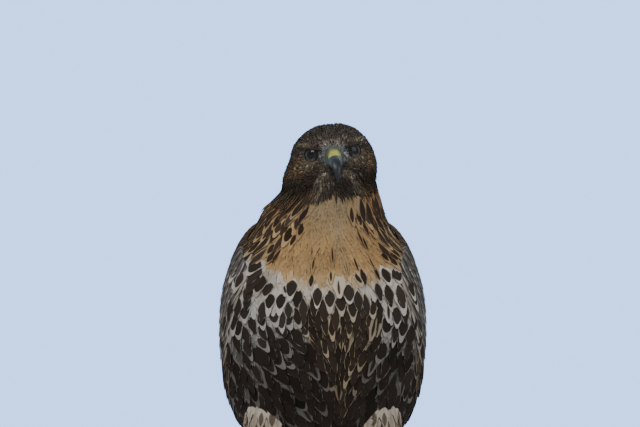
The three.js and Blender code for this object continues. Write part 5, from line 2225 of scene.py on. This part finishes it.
@dataclass
class Wing:
    """One folded wing: the arm's skin, flight feathers, rows of coverts, scapulars and alula."""

    side: int
    arm_end: float = 0.6
    arm_height: float = 3.4
    arm_depth: float = 9.0
    long: VaneShape = VaneShape(26, 8, narrow=0.5, round=0.05, fringe=0.004, camber=0.1, thick=0.25)
    middle: VaneShape = VaneShape(12, 8, narrow=0.6, round=0.16, fringe=0.015, camber=0.12, thick=0.25)
    short: VaneShape = VaneShape(8, 6, narrow=0.6, round=0.25, fringe=0.03, camber=0.14, thick=0.2)
    flight_finish: Plumage = replace(
        LONG_VANES, name="flight feathers", rim=0.35, rim_colour=Tone.CROWN, bars=0.45, bar_count=9.0
    )
    covert_finish: Plumage = replace(
        COVERT_VANES, name="wing coverts", barbs_along=30.0, slant=0.3, shaft=0.6, rim=0.28,
        rim_colour=Tone.OLIVE, bars=0.2, bar_count=3.0,
    )
    scapular_finish: Plumage = replace(
        COVERT_VANES, name="scapular feathers", roughness=0.74, rim=0.35, rim_colour=Tone.RUST, bars=0.4,
        bar_count=2.6, bar_thin=0.5, bar_colour=Tone.DULL_BUFF,
    )

    def rows_of_flight(self) -> list[tuple[Tier, TierLook]]:
        """Ten primaries, and twelve secondaries over them."""
        primaries = Tier(
            10, 15, (-3.4, -3.2), ((0.46, 0.1), (0.5, 0.7)),
            ((0.93, 0.08), (0.985, 0.24), (1.0, 0.42), (0.935, 0.58), (0.85, 0.74), (0.76, 0.88)),
            self.long, tilt=0.0, level=0.78,
        )
        secondaries = Tier(
            12, 18, (4.8, 4.6), ((0.37, 0.08), (0.36, 0.88)),
            ((0.62, 0.06), (0.68, 0.32), (0.69, 0.58), (0.66, 0.78), (0.57, 0.92)),
            self.long, level=0.16,
        )
        return [
            (primaries, TierLook(Tone.BROWN, strength=0.7, wide=0.7)),
            (secondaries, TierLook(Tone.BROWN, strength=0.45, wide=0.6, pale_lead=0.25)),
        ]

    def rows_of_coverts(self) -> list[tuple[Tier, TierLook]]:
        """Greater and median coverts, the alula, nine rows along the wing's front edge and five
        rows of lesser coverts."""
        pale = TierLook(Tone.BROWN, strength=0.8, wide=0.6, spread=0.25, pale_lead=0.9)
        dusky = TierLook(Tone.BROWN, strength=0.8, wide=0.6, spread=0.25, pale_lead=0.15)
        pied = TierLook(
            Tone.CROWN, strength=0.85, wide=0.52, spread=0.45, pale_lead=1.0, lead_end=0.55,
            lead_tone=Tone.WHITE, start=0.3,
        )
        grey = TierLook(
            Tone.BROWN, strength=0.8, wide=0.5, spread=0.45, pale_lead=0.85, lead_end=0.5,
            lead_tone=Tone.MIXED, start=0.1,
        )
        rows = [
            (Tier(count, width, heights, roots, tips, self.middle, level=level), dusky)
            for count, width, heights, roots, tips, level in (
                (
                    12, 16, (5.0, 7.6), ((0.29, 0.08), (0.28, 0.84)),
                    ((0.43, 0.06), (0.44, 0.4), (0.42, 0.86)), 0.0,
                ),
                (
                    11, 15, (4.8, 7.0), ((0.205, 0.08), (0.195, 0.82)),
                    ((0.33, 0.06), (0.335, 0.4), (0.32, 0.84)), 0.0,
                ),
                (3, 12, (3.6, 5.4), ((0.12, 0.02), (0.12, 0.06)), ((0.33, 0.0), (0.3, 0.04)), 0.5),
            )
        ]
        for order in range(9):
            t, shift, height = 0.30 - 0.036 * order, 0.013 * (order % 2), 7.2 - 0.045 * order**2
            roots = ((shift - 0.02, t), (0.5 + shift, t))
            tips = ((0.05 + shift, t - 0.012), (0.575 + shift, t - 0.012))
            row = Tier(19, 8.4, (height - 1.2, height + 0.8), roots, tips, self.short, tilt=0.0, sink=1.5)
            rows.append((row, pied if order % 2 else grey))
        for s in (0.15, 0.115, 0.08, 0.045, 0.01):
            tips = ((s + 0.105, 0.05), (s + 0.11, 0.4), (s + 0.1, 0.84))
            rows.append((Tier(11, 14, (4.6, 6.8), ((s, 0.05), (s - 0.01, 0.8)), tips, self.short), pale))
        return rows

    def rows_of_scapulars(self) -> list[tuple[Tier, TierLook]]:
        """Two rows of broad feathers over the shoulder, along the back edge of the wing."""
        look = TierLook(Tone.BROWN, strength=0.7, wide=0.55, spread=0.25)
        outer, inner = ((0.02, 0.98), (0.27, 0.98)), ((0.0, 0.86), (0.2, 0.88))
        return [
            (Tier(8, 18, (5, 7.8), outer, ((0.19, 0.87), (0.44, 0.87)), self.middle, sink=6), look),
            (Tier(7, 17, (4.4, 6.8), inner, ((0.15, 0.72), (0.36, 0.74)), self.middle, sink=5), look),
        ]

    def arm(self) -> Shape:
        """The arm: a pillow over the wing's surface, thin towards its end, with its edges sunk."""
        surface = WingSurface(self.side)
        s, t = np.meshgrid(np.linspace(0, self.arm_end, 40), np.linspace(0, 1, 26), indexing="ij")
        front = smoothstep(s, -0.015, 0.075)
        thin = smoothstep(s, 0.4, self.arm_end)
        edge = np.minimum(smoothstep(t, -0.04, 0.16), smoothstep(1 - t, -0.04, 0.14))
        top = mix(-2.5, mix(self.arm_height, 1.5, thin), front * edge)
        below = np.minimum(mix(-self.arm_depth, -4.0, thin), top - 1.4)
        rings = np.concatenate([surface.point(s, t, top), surface.point(s, t, below)[:, ::-1]], axis=1)
        return closed_tube(rings)

    def build(self) -> None:
        """Builds the wing's pieces, which together stand for its solid."""
        word = dict(SIDES)[self.side]
        node, slot = f"wing_{word}", "brown_feathers"
        shape = joined([self.arm()])
        tone = mix(Tone.BROWN.rgb(), Tone.CREAM.rgb(), 0.06)
        flat = np.stack([0.5 + shape[0][:, 1] / 400, shape[0][:, 2] / 420], -1)
        build_root(f"wing_arm_{word}", shape, DownSkin("wing skin"), tone, flat, node, slot)
        for name, rows, finish in (
            ("flight_feathers", self.rows_of_flight(), self.flight_finish),
            ("wing_coverts", self.rows_of_coverts(), self.covert_finish),
            ("scapulars", self.rows_of_scapulars(), self.scapular_finish),
        ):
            BladeCoat(f"{name}_{word}", WingSurface(self.side), rows, finish, slot, (node,)).build()


@dataclass
class Tail:
    """The closed tail: twelve long feathers in layers, coverts over and under their roots."""

    length: float = 212.0
    width: float = 23.0
    step: float = 1.05
    fan: tuple = (
        (0.5, 0.6, 0), (-2, -1, -1), (12.2, 3.4, -2), (16.6, 5, -3), (20, 6.4, -4), (22.6, 7.6, -5),
        (24.8, 8.6, -6),
    )
    long: VaneShape = VaneShape(40, 8, narrow=0.5, round=0.035, fringe=0.002, camber=0.05, thick=0.25)
    short: VaneShape = VaneShape(12, 8, narrow=0.6, round=0.2, fringe=0.02, camber=0.12, thick=0.22)
    tail_finish: Plumage = replace(
        LONG_VANES, name="tail feathers", barbs_along=110.0, slant=0.1, barb_depth=0.2, rim=0.2,
        rim_colour=Tone.PALE_BUFF, band=0.95,
    )
    covert_finish: Plumage = replace(
        COVERT_VANES, name="tail coverts", rim=0.4, rim_colour=Tone.PALE_BUFF, bars=0.3, bar_count=3.0
    )

    def feathers(self) -> list[tuple[Tier, TierLook]]:
        """The long feathers, the middle ones on top and each outer one a little lower."""
        look = TierLook(Tone.RED, mark=Tone.BROWN, strength=0.25, wide=0.12, spread=0.12)
        rows = []
        for tip, root, level in self.fan:
            for side in (1,) if level > -2 else (1, -1):
                heights = (2.6 + level * 0.9, 3 + level * self.step)
                roots, tips = ((30, side * root),) * 2, ((self.length + level * 1.2, side * tip),) * 2
                rows.append((Tier(1, self.width, heights, roots, tips, self.long, tilt=0, sink=0), look))
        return rows

    def coverts(self) -> list[tuple[Tier, TierLook]]:
        """Two layers of coverts above the root and two below it, the middle ones outermost."""
        rows = []
        for up, tone, high, longest in ((1, Tone.RUST, 8.4, 86), (-1, Tone.CREAM, -8.6, 98)):
            look = TierLook(tone, mark=Tone.BROWN, strength=0.6, wide=0.4, spread=0.2)
            for place in (0, 1, -1, 2, -2):
                order = abs(place)
                across = math.copysign(15.4 if order == 2 else 8.9 * order, place)
                out, tip = high - up * 1.2 * order, longest - 9 * order
                for draw, lift in ((1.0, 0.0), (0.72, 1.0)):
                    heights = (out + up * lift, out - up * (1.6 - lift))
                    roots, tips = ((16 * draw, across * 0.9),) * 2, ((tip * draw, across * draw),) * 2
                    rows.append((Tier(1, 17, heights, roots, tips, self.short, tilt=0, sink=up * 3), look))
        return rows

    def core(self) -> Shape:
        """The fleshy root: ovals along the tail that grow thinner."""
        rows = np.array([[-4, 10, 14, 8], [18, 8.6, 17, 8.4], [38, 6.4, 16, 7], [54, 3.6, 13, 5]], float)
        place, angle = ring_grid(0, 3, 24, 40)
        s, up, half, down = np.moveaxis(along(rows, place), -1, 0)
        lift = np.where(np.sin(angle) > 0, up, down)
        return closed_tube(TailSurface().point(s, np.cos(angle) * half, np.sin(angle) * lift - 0.6))

    def build(self) -> None:
        """Builds the tail's pieces, which together stand for its solid."""
        slot = "rust_feathers"
        shape = joined([self.core()])
        flat = np.stack([0.5 + shape[0][:, 0] / 60, (shape[0][:, 1] - 60) / 120], -1)
        build_root("tail_root", shape, DownSkin("tail skin"), Tone.RUST.rgb(), flat, "tail", slot)
        for name, rows, finish in (
            ("tail_feathers", self.feathers(), self.tail_finish),
            ("tail_coverts", self.coverts(), self.covert_finish),
        ):
            BladeCoat(name, TailSurface(), rows, finish, slot, ("tail",)).build()


@dataclass(frozen=True)
class Toe:
    """A toe and its claw: the way it points, and its lengths and thickness."""

    name: str
    turn: float
    length: float
    claw: float
    thick: float


@dataclass
class Leg:
    """One bare leg: plated shank, palm, four toes and their claws."""

    HALF_STANCE = 38.0
    side: int
    plates: int = 13
    plate_length: float = 3.4
    claw_bend: float = 78.0
    shank_rows: tuple = (
        (18.5, 98, 38, 98, 7.5),
        (19, 88, 37.6, 89, 8),
        (16.4, 78, 30, 80, 6.6),
        (10.4, 60, 22.6, 62, 5.6),
        (4.2, 40, 16.2, 41, 5.5),
        (-1.8, 22, 12, 22, 6.4),
        (-6, 10, 13, 10, 8),
    )
    toes: tuple[Toe, ...] = (
        Toe("middle", 3, 46, 20, 5.4),
        Toe("inner", -34, 33, 24, 5.6),
        Toe("outer", 38, 38, 18, 4.8),
        Toe("hind", 176, 27, 25, 5.6),
    )
    skin_finish: BareSkin = BareSkin(
        "leg skin", roughness=0.48, colour=(0.55, 0.47, 0.08), other=(0.26, 0.21, 0.05),
        fine=1500.0, broad=300.0,
    )
    claw_finish: Horn = Horn(
        "claw horn", root=(0.03, 0.032, 0.036), point=(0.006, 0.006, 0.007), turn_low=0.0, turn_high=0.7
    )

    def plated(self, share: Array, count: int) -> Array:
        """The profile of overlapping plates: a ramp over each plate that drops at its lower edge."""
        inside = np.mod(share * count, 1.0)
        return smoothstep(inside, 0.0, 0.75) * smoothstep(1 - inside, 0.0, 0.12)

    def shank(self) -> tuple[Array, Array, Array]:
        """The shank: leaning ovals whose front half swells over each plate, and scales behind.

        Returns:
            Points, faces and the share of shade in the grooves.
        """
        point = leaning_rings(self.shank_rows, 0.45, 6.0, 120, 40)
        place, angle = ring_grid(0.45, 6.0, 120, 40)
        front = np.maximum(0, np.cos(angle)) ** 0.6
        swell = self.plated(place / 6, self.plates)
        net = np.abs(np.sin(angle * 9) * np.sin(place * 14)) ** 0.5
        point = swollen(point, front * swell * 1.1 + (1 - front) * net * 0.35)
        points, faces = closed_tube(point + [self.HALF_STANCE, 0, 0])
        shade = 1 - np.where(front > 0.25, smoothstep(swell, 0.05, 0.5), smoothstep(net, 0.2, 0.7))
        return points, faces, np.append(shade.ravel(), [0, 0])

    def toe_turned(self, points: Array, toe: Toe) -> Array:
        """Points of a toe that runs along -Y, turned to its own way and put at the palm."""
        a = math.radians(toe.turn)
        x = points[..., 0] * math.cos(a) - points[..., 1] * math.sin(a) + self.HALF_STANCE
        y = points[..., 0] * math.sin(a) + points[..., 1] * math.cos(a) + 2
        return np.stack([x, y, points[..., 2]], axis=-1)

    def toe(self, toe: Toe) -> tuple[Array, Array, Array]:
        """A toe: rings along it with knuckles, plates above and pads below, flat on the floor."""
        v, angle = ring_grid(0, 1, 90, 28)
        reach = mix(3.0, toe.length, v)
        radius = mix(toe.thick, toe.thick * 0.72, v) * (1 + 0.1 * np.cos(v * np.pi * 4.5))
        above = np.maximum(0, -np.cos(angle)) ** 0.6
        below = np.maximum(0, np.cos(angle)) ** 0.8
        swell = self.plated(1 - v, round(toe.length / self.plate_length))
        pads = np.abs(np.sin(v * np.pi * 3))
        out = radius + 0.55 * swell * above + 0.5 * pads * below
        high = radius * mix(1.36, 0.96, v) - 0.6
        point = np.stack([out * np.sin(angle), -reach, np.maximum(high - out * np.cos(angle), 0.0)], axis=-1)
        points, faces = closed_tube(self.toe_turned(point, toe))
        shade = (1 - smoothstep(swell, 0.05, 0.5)) * (above > 0.2) + 0.5 * below
        return points, faces, np.append(shade.ravel().clip(0, 1), [0, 0])

    def palm(self) -> tuple[Array, Array, Array]:
        """The palm: an ellipsoid, flat where it meets the floor."""
        polar, turn = ring_grid(0.05, np.pi - 0.05, 30, 40)
        ball = np.stack([np.sin(polar) * np.cos(turn), np.sin(polar) * np.sin(turn), np.cos(polar)], -1)
        point = ball * [11, 12, 9] + [self.HALF_STANCE, 2, 7.4]
        point[..., 2] = np.maximum(point[..., 2], 0.0)
        points, faces = closed_tube(point)
        return points, faces, np.zeros(len(points))

    def claw(self, toe: Toe) -> tuple[Array, Array, Array]:
        """A claw: circles that shrink along a hook, over and down to a point at the floor."""
        v, angle = ring_grid(0, 1, 34, 20)
        base = toe.thick * 0.72
        thick = mix(base * 0.86, 0.3, v**0.8)
        bend = v * math.radians(self.claw_bend)
        reach = toe.length - 1.5 + 1.8 * smoothstep(v, 0, 0.15) + np.sin(bend) * toe.claw * 0.82
        high = base + 0.8 + np.sin(v * np.pi) * 2.6 - (1 - np.cos(bend)) * (base + 0.8) * 1.02 + v * 0.9
        lean = bend * 0.9
        c, s = np.cos(angle) * thick, np.sin(angle) * thick * 0.8
        point = np.stack([s, -reach + np.sin(lean) * c, np.maximum(high - np.cos(lean) * c, 0.0)], axis=-1)
        points, faces = closed_tube(self.toe_turned(point, toe))
        return points, faces, np.append(v.ravel(), [0, 1])

    def put(
        self, name: str, made: list[tuple[Array, Array, Array]], finish: Finish, slot: str, node: str
    ) -> None:
        """Builds a piece of the left leg, or its mirror image for the right one."""
        points, faces = joined([(points * [self.side, 1, 1], faces) for points, faces, _ in made])
        share = np.concatenate([share for _, _, share in made])
        Piece(name, points, faces, finish, slot, replaces=(node,), fields={"along": share}).build()

    def build(self) -> None:
        """Builds shank, foot and claws."""
        word = dict(SIDES)[self.side]
        self.put(f"scaled_shank_{word}", [self.shank()], self.skin_finish, "yellow_skin", f"shank_{word}")
        foot = [self.palm(), *(self.toe(toe) for toe in self.toes)]
        self.put(f"scaled_foot_{word}", foot, self.skin_finish, "yellow_skin", f"foot_{word}")
        for toe in self.toes:
            name = f"talon_{toe.name}_{word}"
            self.put(name, [self.claw(toe)], self.claw_finish, "horn", f"claw_{toe.name}_{word}")


@dataclass
class Studio:
    """The floor, the lights, the pale surroundings and the camera."""

    target: Triple = (-2.3, -60.0, 318.8)
    distance: float = 2000.0
    look_up: float = 8.0
    field_width: float = 526.5
    surround: Triple = (0.96, 1.52, 2.75)
    ambient: Triple = (0.44, 0.47, 0.52)
    floor_size: float = 40.0
    floor_finish: FloorFinish = FloorFinish("studio floor")
    lights: tuple = (
        ("key", (-1.3, -1.9, 2.2), 1.6, 52.0, (1.0, 0.95, 0.88)),
        ("fill", (1.8, -1.6, 0.9), 2.0, 20.0, (1.0, 0.97, 0.92)),
        ("back", (0.6, 1.8, 1.9), 1.2, 16.0, (1.0, 0.98, 0.95)),
    )
    lit_point: Triple = (0.0, -0.05, 0.25)

    def build(self) -> None:
        """Builds floor, lights and camera."""
        self.floor()
        for light in self.lights:
            self.light(*light)
        self.surroundings()
        self.camera()

    def surroundings(self) -> None:
        """Pale surroundings: the sky's colour where the camera sees them, softer as a light."""
        world = bpy.data.worlds.new("surround")
        world.use_nodes = True
        world.node_tree.nodes.clear()
        graph = Graph(world.node_tree)
        seen = graph.node("ShaderNodeLightPath").outputs["Is Camera Ray"]
        colour = graph.blend(seen, self.ambient, self.surround)
        ground = graph.node("ShaderNodeBackground", {"Color": colour, "Strength": 1.0})
        graph.node("ShaderNodeOutputWorld", {"Surface": ground.outputs[0]})
        bpy.context.scene.world = world

    def floor(self) -> None:
        """A square floor of one face, marked as the stage."""
        half = self.floor_size / 2
        mesh = bpy.data.meshes.new("floor")
        around = [(-half, -half, 0), (half, -half, 0), (half, half, 0), (-half, half, 0)]
        mesh.from_pydata(around, [], [(0, 1, 2, 3)])
        mesh.materials.append(self.floor_finish.material())
        floor = bpy.data.objects.new("floor", mesh)
        bpy.context.scene.collection.objects.link(floor)
        floor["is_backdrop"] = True

    def light(self, name: str, place: Triple, size: float, power: float, colour: Triple) -> None:
        """A soft square light that faces the bird's breast."""
        data = bpy.data.lights.new(name, "AREA")
        data.size, data.energy, data.color = size, power, colour
        light = bpy.data.objects.new(name, data)
        bpy.context.scene.collection.objects.link(light)
        light.location = place
        ahead = np.array(self.lit_point) - np.array(place)
        light.rotation_mode = "XYZ"
        flat = math.hypot(ahead[0], ahead[1])
        light.rotation_euler = (math.atan2(flat, -ahead[2]), 0.0, math.atan2(-ahead[0], ahead[1]))

    def camera(self) -> None:
        """A long lens that looks slightly up at the bird, as in the photograph."""
        data = bpy.data.cameras.new("camera")
        data.sensor_width = 36.0
        data.lens = data.sensor_width * self.distance / self.field_width
        data.clip_start, data.clip_end = 0.05, 50.0
        camera = bpy.data.objects.new("camera", data)
        bpy.context.scene.collection.objects.link(camera)
        a = math.radians(self.look_up)
        back = np.array([0.0, -math.cos(a), -math.sin(a)]) * self.distance
        camera.location = Place.metres(np.array(self.target) + back)
        camera.rotation_euler = (math.radians(90.0 + self.look_up), 0.0, 0.0)
        bpy.context.scene.camera = camera


def corners(box: tuple) -> list[list[float]]:
    """A box's two corners as plain lists."""
    return [[float(value) for value in corner] for corner in box]


def main() -> None:
    """Builds the bird's parts over the fixed frame, and works out both boxes."""
    logging.basicConfig(level=logging.INFO, format="%(name)s %(message)s")
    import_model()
    cad_box = corners(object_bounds())
    Place.read()
    trunk = Trunk()
    head = Head(trunk)
    markings = Markings()
    parts = [
        Flesh(trunk, head, markings),
        BodyCoat(trunk, markings),
        ThighCoat(1),
        ThighCoat(-1),
        HeadCoat(trunk, head, markings),
        Face(head),
        Wing(1),
        Wing(-1),
        Tail(),
        Leg(1),
        Leg(-1),
        Studio(),
    ]
    for part in parts:
        part.build()
        LOG.info("built %s", type(part).__name__)
    {"cad": cad_box, "visual": corners(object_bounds())}


if __name__ == "__main__":
    main()
